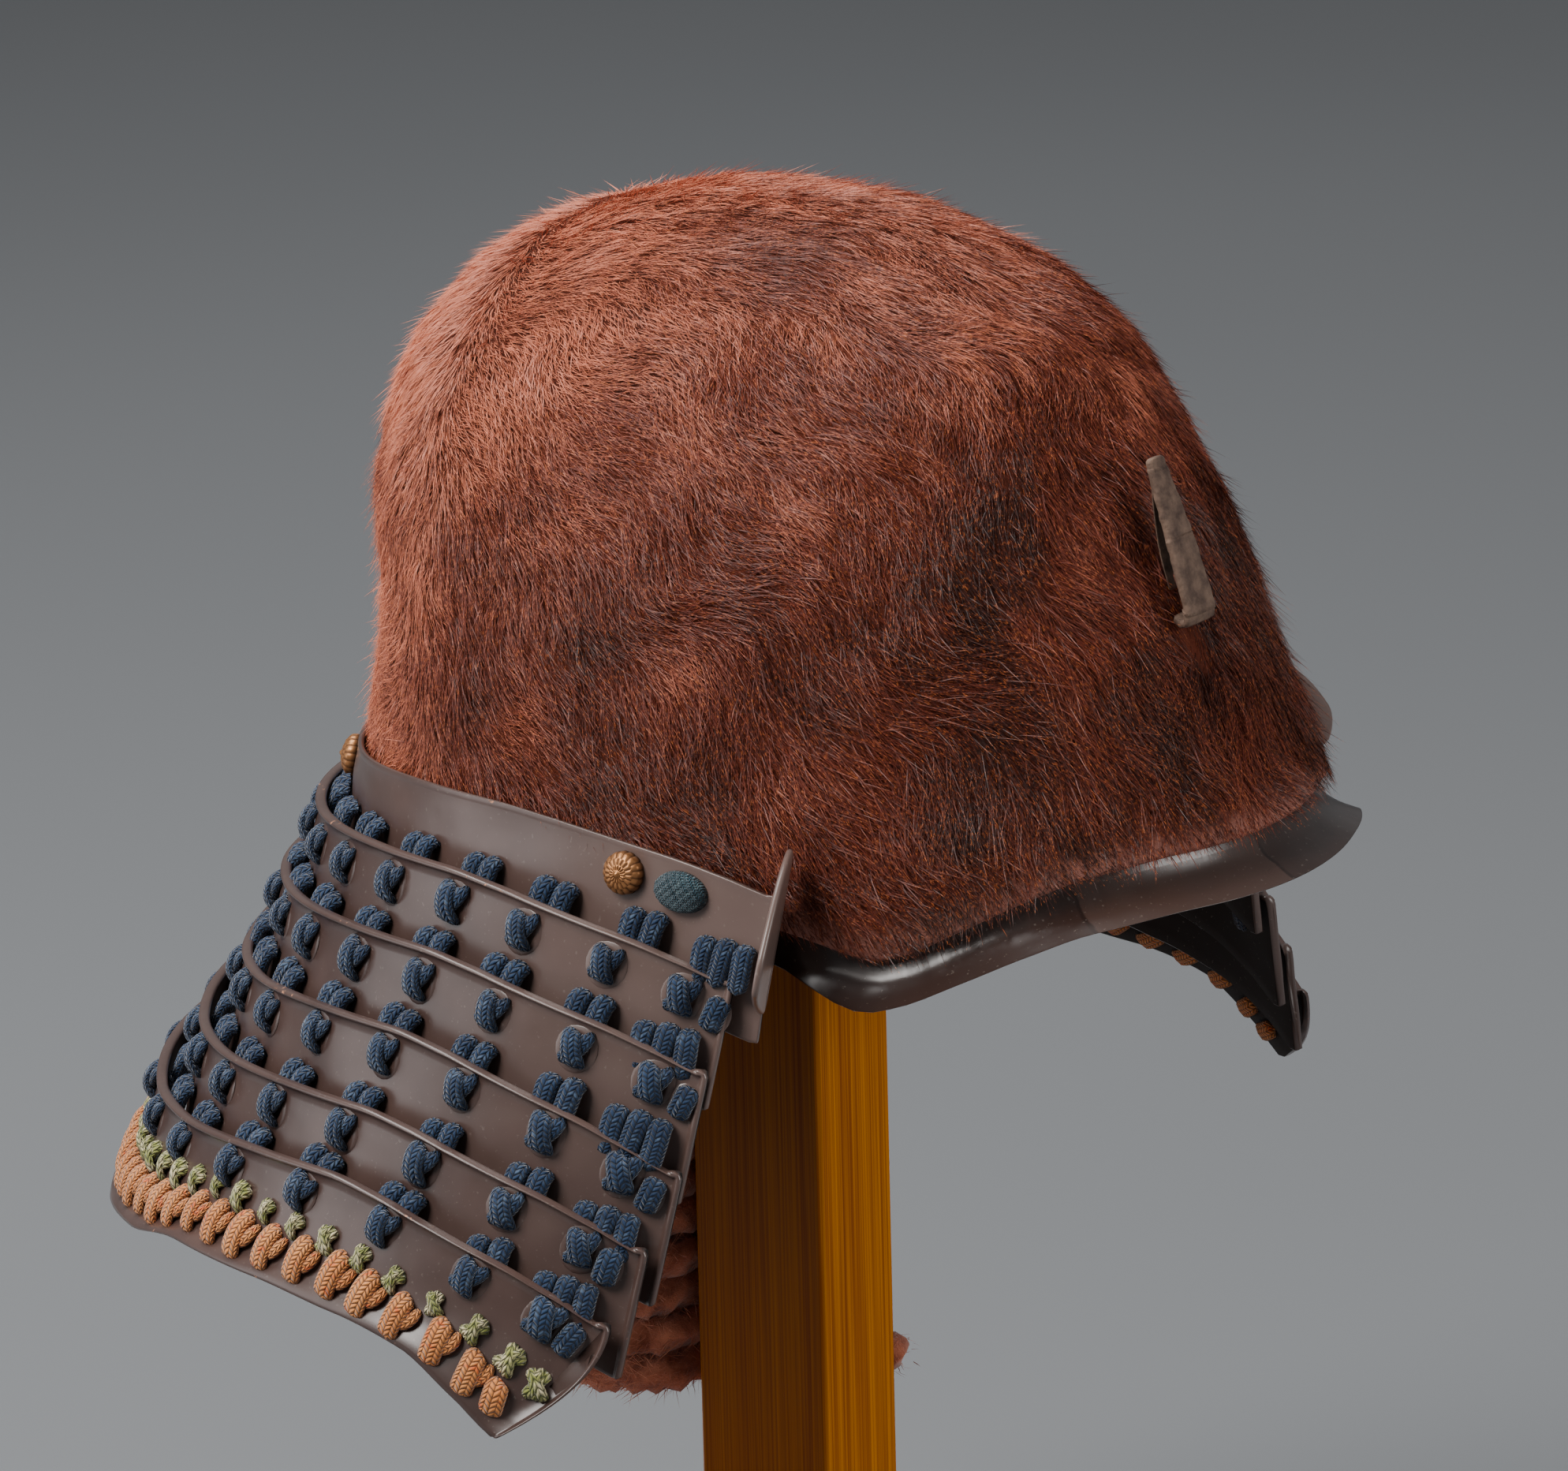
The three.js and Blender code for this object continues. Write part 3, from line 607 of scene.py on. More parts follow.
# ------------------------------ node trees
class Tree:
    """Short way to write a shader or geometry tree."""

    def __init__(self, tree: bpy.types.NodeTree) -> None:
        """Starts on a node tree."""
        self.tree = tree

    def node(self, kind: str, inputs: dict | None = None, **settings: object) -> Node:
        """Adds a node.

        Args:
            kind: Node type.
            inputs: Values or sockets by input name or number.
            settings: Properties of the node.

        Returns:
            The node.
        """
        made = self.tree.nodes.new(kind)
        for name, value in settings.items():
            setattr(made, name, value)
        for name, value in (inputs or {}).items():
            self.fill(made, name, value)
        return made

    def number(self, kind: str, inputs: dict, **settings: object) -> Socket:
        """Adds a node and gives its first output."""
        return self.node(kind, inputs, **settings).outputs[0]

    def math(self, operation: str, a: object, b: object = 0.0, clamp: bool = False) -> Socket:
        """A math node's result."""
        return self.number("ShaderNodeMath", {0: a, 1: b}, operation=operation, use_clamp=clamp)

    def add(self, a: object, b: object, clamp: bool = False) -> Socket:
        """The sum of two values."""
        return self.math("ADD", a, b, clamp)

    def minus(self, a: object, b: object) -> Socket:
        """The first value less the second."""
        return self.math("SUBTRACT", a, b)

    def times(self, a: object, b: object) -> Socket:
        """The product of two values."""
        return self.math("MULTIPLY", a, b)

    def link(self, value: Socket, into: Socket) -> None:
        """Links a value to an input."""
        self.tree.links.new(value, into)

    def split(self, vector: Socket) -> list[Socket]:
        """The x, y and z of a vector."""
        return list(self.node("ShaderNodeSeparateXYZ", {0: vector}).outputs)

    def attribute(self, name: str) -> Socket:
        """A number stored on the mesh."""
        return self.node("ShaderNodeAttribute", attribute_name=name).outputs["Fac"]

    def map(self) -> Socket:
        """The piece's own UV map."""
        return self.node("ShaderNodeUVMap").outputs[0]

    def bump(self, height: object, strength: float, distance: float) -> Socket:
        """Normal of a height in its own unit, distance being its depth in metres."""
        inputs = {"Height": height, "Strength": strength, "Distance": distance}
        return self.node("ShaderNodeBump", inputs).outputs["Normal"]

    def fill(self, node: Node, name: str, value: object) -> None:
        """Links or sets one input of a node; three numbers for a colour are made four.

        Args:
            node: The node.
            name: Name or number of its input.
            value: A value, or a socket to link.
        """
        socket = node.inputs[name]
        if isinstance(value, Socket):
            self.link(value, socket)
        elif isinstance(value, tuple) and len(value) == 3 and socket.type == "RGBA":
            socket.default_value = (*value, 1.0)
        else:
            socket.default_value = value

    def shade(self, **sockets: object) -> None:
        """Links or sets the shader's sockets, named with underscores for spaces."""
        for name, value in sockets.items():
            self.fill(self.tree.nodes["Principled BSDF"], name.replace("_", " "), value)

    def ramp(self, value: object, low: float, high: float) -> Socket:
        """Value carried from low..high to 0..1, smoothly."""
        inputs = {0: value, 1: low, 2: high, 3: 0.0, 4: 1.0}
        return self.number("ShaderNodeMapRange", inputs, interpolation_type="SMOOTHSTEP")

    def mix(self, share: object, a: object, b: object, blend: str = "MIX") -> Socket:
        """Two colours mixed."""
        a, b = (c if isinstance(c, Socket) else (*c[:3], 1.0) for c in (a, b))
        made = self.node("ShaderNodeMix", {0: share, 6: a, 7: b}, data_type="RGBA", blend_type=blend)
        return made.outputs[2]

    def noise(self, place: object, scale: object, detail: float = 3.0, rough: float = 0.5) -> Socket:
        """Noise from 0 to 1 at a place."""
        inputs = {"Vector": place, "Scale": scale, "Detail": detail, "Roughness": rough}
        return self.number("ShaderNodeTexNoise", inputs)

    def group(self, name: str, inputs: dict) -> Node:
        """Places a shared node group."""
        made = self.node("ShaderNodeGroup", node_tree=bpy.data.node_groups[name])
        for key, value in inputs.items():
            self.fill(made, key, value)
        return made


def new_group(
    name: str, kind: str, inputs: dict[str, str], outputs: dict[str, str]
) -> tuple[Tree, dict[str, Socket], Node]:
    """Makes an empty node group.

    Args:
        name: Its name.
        kind: ShaderNodeTree or GeometryNodeTree.
        inputs: Socket types by name.
        outputs: Socket types by name.

    Returns:
        The tree, its input sockets by name and its output node.
    """
    made = bpy.data.node_groups.new(name, kind)
    for label, socket in inputs.items():
        made.interface.new_socket(label, in_out="INPUT", socket_type=socket)
    for label, socket in outputs.items():
        made.interface.new_socket(label, in_out="OUTPUT", socket_type=socket)
    tree = Tree(made)
    entry = tree.node("NodeGroupInput")
    return tree, {s.name: s for s in entry.outputs if s.name}, tree.node("NodeGroupOutput")


def make_shader_groups() -> None:
    """Builds the effects that several finishes share: mottling, worn edges and plaited thread."""
    number, colour, vector = "NodeSocketFloat", "NodeSocketColor", "NodeSocketVector"
    tree, into, out = new_group(
        "mottle", "ShaderNodeTree",
        {"Place": vector, "Dark": colour, "Light": colour, "Scale": number, "Contrast": number},
        {"Colour": colour},
    )
    level = tree.minus(tree.noise(into["Place"], into["Scale"], 5.0, 0.6), 0.5)
    level = tree.add(tree.times(level, into["Contrast"]), 0.5, clamp=True)
    tree.link(tree.mix(level, into["Dark"], into["Light"]), out.inputs["Colour"])

    tree, into, out = new_group(
        "worn_edge", "ShaderNodeTree",
        {"Place": vector, "Base": colour, "Bare": colour, "Edge": number, "Amount": number},
        {"Colour": colour, "Mask": number},
    )
    flakes = tree.noise(into["Place"], 420.0, 4.0, 0.62)
    patches = tree.noise(into["Place"], 38.0, 2.0)
    level = tree.add(tree.times(flakes, 0.45), tree.times(patches, 0.55))
    level = tree.add(level, tree.times(into["Edge"], into["Amount"]))
    mask = tree.times(tree.ramp(level, 0.77, 0.8), tree.ramp(into["Edge"], 0.05, 0.3))
    tree.link(tree.mix(mask, into["Base"], into["Bare"]), out.inputs["Colour"])
    tree.link(mask, out.inputs["Mask"])

    tree, into, out = new_group(
        "plait", "ShaderNodeTree",
        {"Map": vector, "Columns": number, "Rows": number},
        {"Height": number, "Gap": number},
    )
    across, up, _ = tree.split(into["Map"])
    column = tree.times(across, into["Columns"])
    fold = tree.math("ABSOLUTE", tree.minus(tree.math("FRACT", column), 0.5))
    row = tree.add(tree.times(up, into["Rows"]), tree.times(fold, 1.6))
    rib = tree.math("ABSOLUTE", tree.math("SINE", tree.times(row, math.pi)))
    groove = tree.math("ABSOLUTE", tree.math("SINE", tree.times(column, 2 * math.pi)))
    height = tree.times(tree.math("POWER", rib, 0.6), tree.math("POWER", groove, 0.35))
    tree.link(height, out.inputs["Height"])
    # Gap is 0 in the grooves between strands, where the finishes paint shade
    tree.link(tree.ramp(height, 0.1, 0.75), out.inputs["Gap"])


# ------------------------------ finishes
@dataclass(frozen=True)
class Finish:
    """What every finish shares: its material, and two tones mixed in soft patches."""

    name: str
    dark: Colour
    light: Colour

    def material(self) -> Material:
        """The finish's material."""
        made = bpy.data.materials.new(self.name)
        made.use_nodes = True
        tree = Tree(made.node_tree)
        self.dress(tree, tree.node("ShaderNodeTexCoord").outputs["Object"])
        return made

    def mottled(self, tree: Tree, place: Socket, scale: float, contrast: float) -> Socket:
        """The dark and the light tone, mixed in patches of a scale and a contrast."""
        return tree.group("mottle", {
            "Place": place, "Dark": self.dark, "Light": self.light, "Scale": scale, "Contrast": contrast,
        }).outputs["Colour"]

    def dress(self, tree: Tree, place: Socket) -> None:
        """Links the finish's colours and relief to its shader.

        Args:
            tree: The material's tree.
            place: Object coordinates.
        """
        raise NotImplementedError


@dataclass(frozen=True)
class Lacquer(Finish):
    """Brown lacquer over iron: finely speckled, softly wavy and chipped along its edges; the front of the
    topmost lames carries a painted sheen.
    """

    name: str = "lacquer_brown"
    dark: Colour = srgb(58, 42, 38)
    light: Colour = srgb(88, 68, 62)
    bare: Colour = srgb(176, 122, 92)
    wear: float = 0.15
    within: Colour = srgb(30, 24, 22)
    # colour of the painted sheen on the front of the topmost lames
    sheen_colour: Colour = srgb(150, 128, 120)
    speck: Colour = srgb(170, 160, 150)
    painted_sheen: float = 0.34  # how much a painted sheen pales the front of the topmost lames
    gloss: float = 0.26
    reflection_span: tuple[float, float] | None = None  # span of the brim, degrees from the front, lightened by a painted reflection between two dark seam lines
    # colour of the painted reflection on the brim
    reflection_colour: Colour = srgb(66, 49, 43)

    def dress(self, tree: Tree, place: Socket) -> None:
        """Links the finish's colours and relief to its shader."""
        left, back, height = tree.split(place)
        ahead = tree.times(back, -1.0)
        base = self.mottled(tree, place, 26.0, 1.5)
        # painted reflection: a lighter band of the brim between two seams, with dark seam lines at its edges
        if self.reflection_span:
            turn = tree.math("DEGREES", tree.math("ARCTAN2", tree.times(left, -1.0), ahead))
            middle, half = sum(self.reflection_span) / 2, (self.reflection_span[1] - self.reflection_span[0]) / 2
            away = tree.math("ABSOLUTE", tree.minus(turn, middle))
            away = tree.add(away, tree.times(tree.noise(place, 160.0, 2.0), 1.2))
            base = tree.mix(tree.ramp(away, half + 0.9, half + 0.5), base, self.reflection_colour)
            seam = tree.ramp(tree.math("ABSOLUTE", tree.minus(away, half + 0.7)), 0.35, 0.1)
            base = tree.mix(seam, base, self.dark)
        if self.painted_sheen:
            # painted sheen: the front of the topmost lames is mixed towards a pale sheen colour
            paler = tree.times(tree.ramp(ahead, -0.02, 0.05), tree.ramp(height, 0.22, 0.33))
            base = tree.mix(tree.times(paler, self.painted_sheen), base, self.sheen_colour)
        inside = tree.ramp(tree.split(tree.map())[1], 0.4, 0.9)
        base = tree.mix(inside, base, self.within)
        worn = tree.group("worn_edge", {
            "Place": place, "Base": base, "Bare": self.bare,
            "Edge": tree.attribute("mark"), "Amount": self.wear,
        })
        specks = tree.times(tree.ramp(tree.noise(place, 900.0, 2.0), 0.66, 0.74), 0.16)
        rough = tree.add(self.gloss, tree.times(tree.noise(place, 60.0, 3.0), 0.16))
        rough = tree.add(rough, tree.times(worn.outputs["Mask"], 0.4), clamp=True)
        relief = tree.minus(tree.noise(place, 55.0, 2.0), tree.times(worn.outputs["Mask"], 0.35))
        tree.shade(
            Base_Color=tree.mix(specks, worn.outputs["Colour"], self.speck),
            Roughness=tree.add(rough, tree.times(inside, 0.5), clamp=True),
            Normal=tree.bump(relief, 0.5, 0.0009), Specular_IOR_Level=0.4,
            Coat_Weight=tree.times(tree.minus(1.0, inside), 0.5), Coat_Roughness=0.28,
        )


@dataclass(frozen=True)
class Iron(Finish):
    """Forged iron with brown rust."""

    name: str = "rusted_iron"
    dark: Colour = srgb(70, 52, 44)
    light: Colour = srgb(128, 104, 88)

    def dress(self, tree: Tree, place: Socket) -> None:
        """Links the finish's colours and relief to its shader."""
        grain = tree.noise(place, 900.0, 4.0, 0.7)
        tree.shade(
            Base_Color=self.mottled(tree, place, 240.0, 2.6), Metallic=0.25,
            Roughness=tree.add(0.62, tree.times(grain, 0.25)),
            Normal=tree.bump(grain, 0.6, 0.0006),
        )


@dataclass(frozen=True)
class Brass(Finish):
    """Old gilt brass with dirt in its hollows."""

    name: str = "old_brass"
    dark: Colour = srgb(52, 30, 18)
    light: Colour = srgb(190, 132, 84)

    def dress(self, tree: Tree, place: Socket) -> None:
        """Links the finish's colours and relief to its shader."""
        low = tree.attribute("mark")
        base = tree.mix(0.6, self.mottled(tree, place, 500.0, 1.2), self.light)
        tree.shade(
            Base_Color=tree.mix(tree.times(low, 0.85), base, self.dark), Metallic=0.7,
            Roughness=tree.add(0.36, tree.times(low, 0.4), clamp=True),
        )


@dataclass(frozen=True)
class Thread(Finish):
    """Plaited silk lace, its strands shown by the map."""

    accent: Colour = srgb(80, 98, 122)
    accent_share: float = 0.2
    columns: float = 3.0
    rows: float = 9.0

    def dress(self, tree: Tree, place: Socket) -> None:
        """Links the finish's colours and relief to its shader."""
        plait = tree.group("plait", {"Map": tree.map(), "Columns": self.columns, "Rows": self.rows})
        spots = tree.ramp(tree.noise(place, 380.0, 2.0), 0.62 - self.accent_share * 0.4, 0.7)
        colour = tree.mix(tree.times(spots, 0.8), self.mottled(tree, place, 130.0, 1.8), self.accent)
        # painted shade: the gaps between the plait's strands are darkened
        shade = tree.mix(plait.outputs["Gap"], tuple(c * 0.32 for c in self.dark), colour)
        tree.shade(
            Base_Color=shade, Roughness=0.85, Sheen_Weight=0.25, Sheen_Roughness=0.4,
            Specular_IOR_Level=0.2, Normal=tree.bump(plait.outputs["Height"], 0.9, 0.0009),
        )


@dataclass(frozen=True)
class Fluff(Finish):
    """Soft spun cord or its loose fibres."""

    def dress(self, tree: Tree, place: Socket) -> None:
        """Links the finish's colours and relief to its shader."""
        fibres = tree.noise(place, 1500.0, 3.0, 0.7)
        tree.shade(
            Base_Color=self.mottled(tree, place, 160.0, 2.0), Roughness=0.95, Sheen_Weight=0.4,
            Sheen_Roughness=0.5, Specular_IOR_Level=0.1, Normal=tree.bump(fibres, 0.7, 0.0008),
        )


@dataclass(frozen=True)
class Hair(Finish):
    """Red-brown fur: the coat's tone, painted sheen and shade included, is carried by each hair, paler
    towards its tip.
    """

    name: str = "fur_hair"
    dark: Colour = srgb(46, 19, 13)
    middle: Colour = srgb(112, 47, 31)
    # the light tone also colours the painted sheen on the fur's top and back
    light: Colour = srgb(202, 118, 90)
    tip: Colour = srgb(240, 134, 60)

    def dress(self, tree: Tree, place: Socket) -> None:
        """Links the finish's colours and relief to its shader."""
        along = tree.split(tree.map())[1]
        strand = tree.noise(place, 1100.0, 2.0)
        level = tree.add(tree.attribute("tone"), tree.times(tree.minus(strand, 0.5), 1.15))
        body = tree.mix(tree.ramp(level, 0.0, 0.55), self.dark, self.middle)
        body = tree.mix(tree.ramp(level, 0.5, 1.05), body, self.light)
        tipped = tree.times(tree.ramp(along, 0.3, 0.9), tree.ramp(strand, 0.54, 0.64))
        colour = tree.mix(tree.times(tipped, 0.62), body, self.tip)
        colour = tree.mix(tree.times(tree.ramp(along, 0.35, 0.0), 0.45), colour, self.dark)
        tree.shade(Base_Color=colour, Roughness=0.45, Specular_IOR_Level=0.38)


@dataclass(frozen=True)
class Hide(Finish):
    """Skin under the fur, dark with short underfur and pinkish where it is trimmed."""

    name: str = "hide_skin"
    dark: Colour = srgb(52, 22, 14)
    light: Colour = srgb(104, 46, 28)
    trimmed: Colour = srgb(168, 112, 98)

    def dress(self, tree: Tree, place: Socket) -> None:
        """Links the finish's colours and relief to its shader."""
        fuzz = tree.noise(place, 1300.0, 3.0, 0.7)
        bare = tree.ramp(tree.add(tree.attribute("mark"), tree.times(fuzz, 0.4)), 0.5, 1.1)
        colour = tree.mix(bare, self.mottled(tree, place, 70.0, 2.2), self.trimmed)
        tree.shade(
            Base_Color=colour, Roughness=0.9, Specular_IOR_Level=0.2,
            Normal=tree.bump(fuzz, 0.8, 0.0007),
        )


@dataclass(frozen=True)
class Wood(Finish):
    """Varnished softwood with fine straight grain along one axis."""

    dark: Colour = srgb(126, 58, 0)
    light: Colour = srgb(202, 124, 0)
    along: tuple[int, int, int] = (0, 0, 1)
    face_shade_tone: Colour = srgb(84, 30, 0)  # painted shade on the right face, with some of the board's own darker tone
    right_face: float = -0.0155
    face_shade_share: float = 0.0  # how far the right face is darkened by painted shade and board tone

    def dress(self, tree: Tree, place: Socket) -> None:
        """Links the finish's colours and relief to its shader."""
        stretch = tuple(7.0 if a else 1500.0 for a in self.along)
        broad = tuple(0.16 * s for s in stretch)
        kind = "ShaderNodeMapping"
        fine = tree.noise(tree.number(kind, {"Vector": place, "Scale": stretch}), 1.0, 4.0, 0.6)
        bands = tree.noise(tree.number(kind, {"Vector": place, "Scale": broad}), 1.0, 1.0)
        level = tree.add(tree.times(fine, 0.8), tree.times(bands, 0.25))
        colour = tree.mix(tree.ramp(level, 0.3, 0.76), self.dark, self.light)
        # painted shade: the right face, beyond right_face in x, is mixed towards a darker tone
        if self.face_shade_share:
            face = tree.ramp(tree.split(place)[0], self.right_face, self.right_face - 0.0004)
            colour = tree.mix(tree.times(face, self.face_shade_share), colour, self.face_shade_tone)
        tree.shade(
            Base_Color=colour, Normal=tree.bump(fine, 0.25, 0.0003),
            Roughness=tree.add(0.3, tree.times(fine, 0.2)), Specular_IOR_Level=0.12,
        )


@dataclass(frozen=True)
class Floor(Finish):
    """Matt pale grey paper."""

    name: str = "pale_floor"
    dark: Colour = srgb(112, 115, 118)
    light: Colour = srgb(126, 129, 132)

    def dress(self, tree: Tree, place: Socket) -> None:
        """Links the finish's colours and relief to its shader."""
        shade = tree.mix(tree.noise(place, 0.7, 2.0), self.dark, self.light)
        tree.shade(Base_Color=shade, Roughness=0.9, Specular_IOR_Level=0.1)


class Finishes:
    """Every finish of the helmet and its stand, made once."""

    def __init__(self) -> None:
        """Builds the materials."""
        make_shader_groups()
        brim = Lacquer(
            "lacquer_brim", srgb(38, 25, 21), srgb(56, 40, 35),
            wear=0.05, painted_sheen=0.0, gloss=0.16, reflection_span=(0.5, 23.3),
        )
        teal = Thread(
            "lace_teal", srgb(34, 56, 68), srgb(66, 100, 112), srgb(96, 124, 130), columns=5, rows=7
        )
        orange = Thread("lace_orange", srgb(206, 122, 62), srgb(232, 158, 96), srgb(222, 98, 46), 0.12)
        green = Thread(
            "lace_green", srgb(112, 122, 56), srgb(166, 168, 96), srgb(240, 224, 184), 0.6, columns=2, rows=6
        )
        self.lacquer = Lacquer().material()
        self.brim = brim.material()
        self.iron = Iron().material()
        self.brass = Brass().material()
        self.hair = Hair().material()
        self.hide = Hide().material()
        self.indigo = Thread("lace_indigo", srgb(24, 36, 60), srgb(46, 68, 98)).material()
        self.teal = teal.material()
        self.orange = orange.material()
        self.green = green.material()
        self.cord = Fluff("cord_rust", srgb(112, 44, 28), srgb(222, 138, 104)).material()
        self.fibre = Fluff("cord_fibre", srgb(176, 88, 60), srgb(236, 166, 132)).material()
        self.wood_upright = Wood("wood_upright", face_shade_share=0.52).material()
        self.wood_board = Wood("wood_board", along=(0, 1, 0)).material()


# ------------------------------ repeating
class Scatter:
    """A geometry tree that sets copies of a small piece on points, turned and sized by chance."""

    def __init__(self, name: str, taken: str, sockets: dict[str, str]) -> None:
        """Starts a tree.

        Args:
            name: Its name.
            taken: Name of its geometry, going in and coming out.
            sockets: Types of its other inputs by name, apart from the finish and the seed.
        """
        shape = {taken: "NodeSocketGeometry"}
        inputs = {**shape, **sockets, "Finish": "NodeSocketMaterial", "Seed": "NodeSocketInt"}
        self.tree, self.into, self.out = new_group(name, "GeometryNodeTree", inputs, shape)

    def named(self, label: str, kind: str = "FLOAT") -> Socket:
        """A named attribute's value."""
        return self.tree.number("GeometryNodeInputNamedAttribute", {"Name": label}, data_type=kind)

    def random(self, low: float, high: float, salt: int) -> Socket:
        """A random number between low and high, the seed plus a salt."""
        inputs = {2: low, 3: high, "Seed": self.tree.add(self.into["Seed"], float(salt))}
        return self.tree.node("FunctionNodeRandomValue", inputs, data_type="FLOAT").outputs[1]

    def turned(self, rotation: Socket, swing: dict[int, Socket]) -> Socket:
        """A rotation turned further by angles round its own axes."""
        angles = self.tree.number("ShaderNodeCombineXYZ", swing)
        inputs = {0: rotation, 1: self.tree.number("FunctionNodeEulerToRotation", {0: angles})}
        return self.tree.number("FunctionNodeRotateRotation", inputs, rotation_space="LOCAL")

    def finish(self, points: Socket, piece: str, rotation: Socket, size: Socket) -> None:
        """Sets the piece on the points as real mesh with its finish, which ends the tree.

        Args:
            points: Where the copies go.
            piece: Name of the input that holds the piece.
            rotation: Their rotation.
            size: Their size.
        """
        shape = self.tree.node("GeometryNodeObjectInfo", {"Object": self.into[piece]}).outputs["Geometry"]
        inputs = {"Points": points, "Instance": shape, "Rotation": rotation, "Scale": size}
        copies = self.tree.number("GeometryNodeInstanceOnPoints", inputs)
        real = self.tree.number("GeometryNodeRealizeInstances", {0: copies})
        inputs = {"Geometry": real, "Material": self.into["Finish"]}
        self.tree.link(self.tree.number("GeometryNodeSetMaterial", inputs), self.out.inputs[0])


def make_hair_tree() -> None:
    """Builds the tree that lays hairs along a surface's flow."""
    names = ("Density", "Shortest", "Longest", "Heading", "Roll", "Lift", "Stray")
    sockets = {"Hair": "NodeSocketObject", **dict.fromkeys(names, "NodeSocketFloat")}
    scatter = Scatter("lay_hairs", "Surface", sockets)
    tree, into, random = scatter.tree, scatter.into, scatter.random
    density = tree.times(into["Density"], scatter.named("cover"))
    inputs = {"Mesh": into["Surface"], "Density": density, "Seed": into["Seed"]}
    spots = tree.node("GeometryNodeDistributePointsOnFaces", inputs)
    align = "FunctionNodeAlignRotationToVector"
    upright = tree.number(align, {"Vector": spots.outputs["Normal"]}, axis="Z")
    inputs = {"Rotation": upright, "Vector": scatter.named("flow", "FLOAT_VECTOR")}
    laid = tree.number(align, inputs, axis="Y", pivot_axis="Z")
    stray = tree.times(tree.math("POWER", random(0.0, 1.0, 1), 9.0), into["Stray"])
    lift = tree.add(tree.times(random(-0.4, 1.0, 2), into["Lift"]), stray)
    roll = tree.times(random(-1.0, 1.0, 3), into["Roll"])
    heading = tree.times(random(-1.0, 1.0, 4), into["Heading"])
    spread = tree.minus(into["Longest"], into["Shortest"])
    extra = tree.times(tree.math("POWER", random(0.0, 1.0, 5), 2.0), spread)
    long_ = tree.times(tree.add(into["Shortest"], extra), scatter.named("reach"))
    size = tree.number("ShaderNodeCombineXYZ", {0: random(0.75, 1.3, 6), 1: long_, 2: long_})
    scatter.finish(spots.outputs[0], "Hair", scatter.turned(laid, {0: lift, 1: roll, 2: heading}), size)


def make_knot_tree() -> None:
    """Builds the tree that sets a knot on every marked point."""
    sockets = {"Piece": "NodeSocketObject", "Vary": "NodeSocketFloat", "Twist": "NodeSocketFloat"}
    scatter = Scatter("set_on_points", "Points", sockets)
    tree, into = scatter.tree, scatter.into
    spots = tree.number("GeometryNodeMeshToPoints", {"Mesh": into["Points"]})
    placed = tree.number("FunctionNodeEulerToRotation", {0: scatter.named("turn", "FLOAT_VECTOR")})
    turned = scatter.turned(placed, {2: tree.times(scatter.random(-1.0, 1.0, 1), into["Twist"])})
    size = tree.add(1.0, tree.times(scatter.random(-1.0, 1.0, 2), into["Vary"]))
    scatter.finish(spots, "Piece", turned, size)


def grow(piece: Piece, tree_name: str, inputs: dict[str, object]) -> None:
    """Runs a geometry tree on a piece and keeps its result as a plain mesh.

    Args:
        piece: The piece, whose mesh is the tree's input.
        tree_name: Name of the tree.
        inputs: Values by input name.
    """
    modifier = piece.modifiers.new(tree_name, "NODES")
    modifier.node_group = bpy.data.node_groups[tree_name]
    for item in modifier.node_group.interface.items_tree:
        if item.in_out == "INPUT" and item.name in inputs:
            modifier[item.identifier] = inputs[item.name]
    piece.update_tag()
    bpy.context.view_layer.update()
    graph = bpy.context.evaluated_depsgraph_get()
    made = bpy.data.meshes.new_from_object(
        piece.evaluated_get(graph), preserve_all_data_layers=True, depsgraph=graph
    )
    piece.modifiers.clear()
    old = piece.data
    piece.data = made
    made.name = piece.name
    bpy.data.meshes.remove(old)


def discard(piece: Piece) -> None:
    """Removes a helper object."""
    bpy.data.objects.remove(piece, do_unlink=True)


def hair_shape(name: str, length: float, half_width: float, material: Material) -> Piece:
    """A tapered hair that lies along +Y and stands a little off the skin.

    Args:
        name: Name of the helper object.
        length: Its length.
        half_width: Half its width at the root.
        material: Its finish.

    Returns:
        The helper object.
    """
    wide, along, off = 0.85 * half_width, 0.45 * length, 0.09 * length
    points = [
        (-half_width, 0, 0), (half_width, 0, 0),
        (wide, along, off), (-wide, along, off), (0, length, 0.13 * length),
    ]
    work = MeshWork()
    work.add(points, [(0, 1, 2, 3), (3, 2, 4)], [(0, 0), (1, 0), (1, 0.45), (0, 0.45), (0.5, 1)])
    return work.piece(name, material, fix=False, datum=np.zeros(3))


def set_attribute(mesh: bpy.types.Mesh, name: str, kind: str, values: Array) -> None:
    """Stores a per-point attribute."""
    made = mesh.attributes.new(name, kind, "POINT")
    made.data.foreach_set("vector" if kind == "FLOAT_VECTOR" else "value", values.astype(np.float32).ravel())


# ------------------------------ studio
@dataclass(frozen=True)
class Lamp:
    """A soft square box, placed from the helmet to the view's right, up and towards the viewer, in metres."""

    name: str
    right: float
    up: float
    near: float
    size: float
    power: float  # watts
    colour: Colour


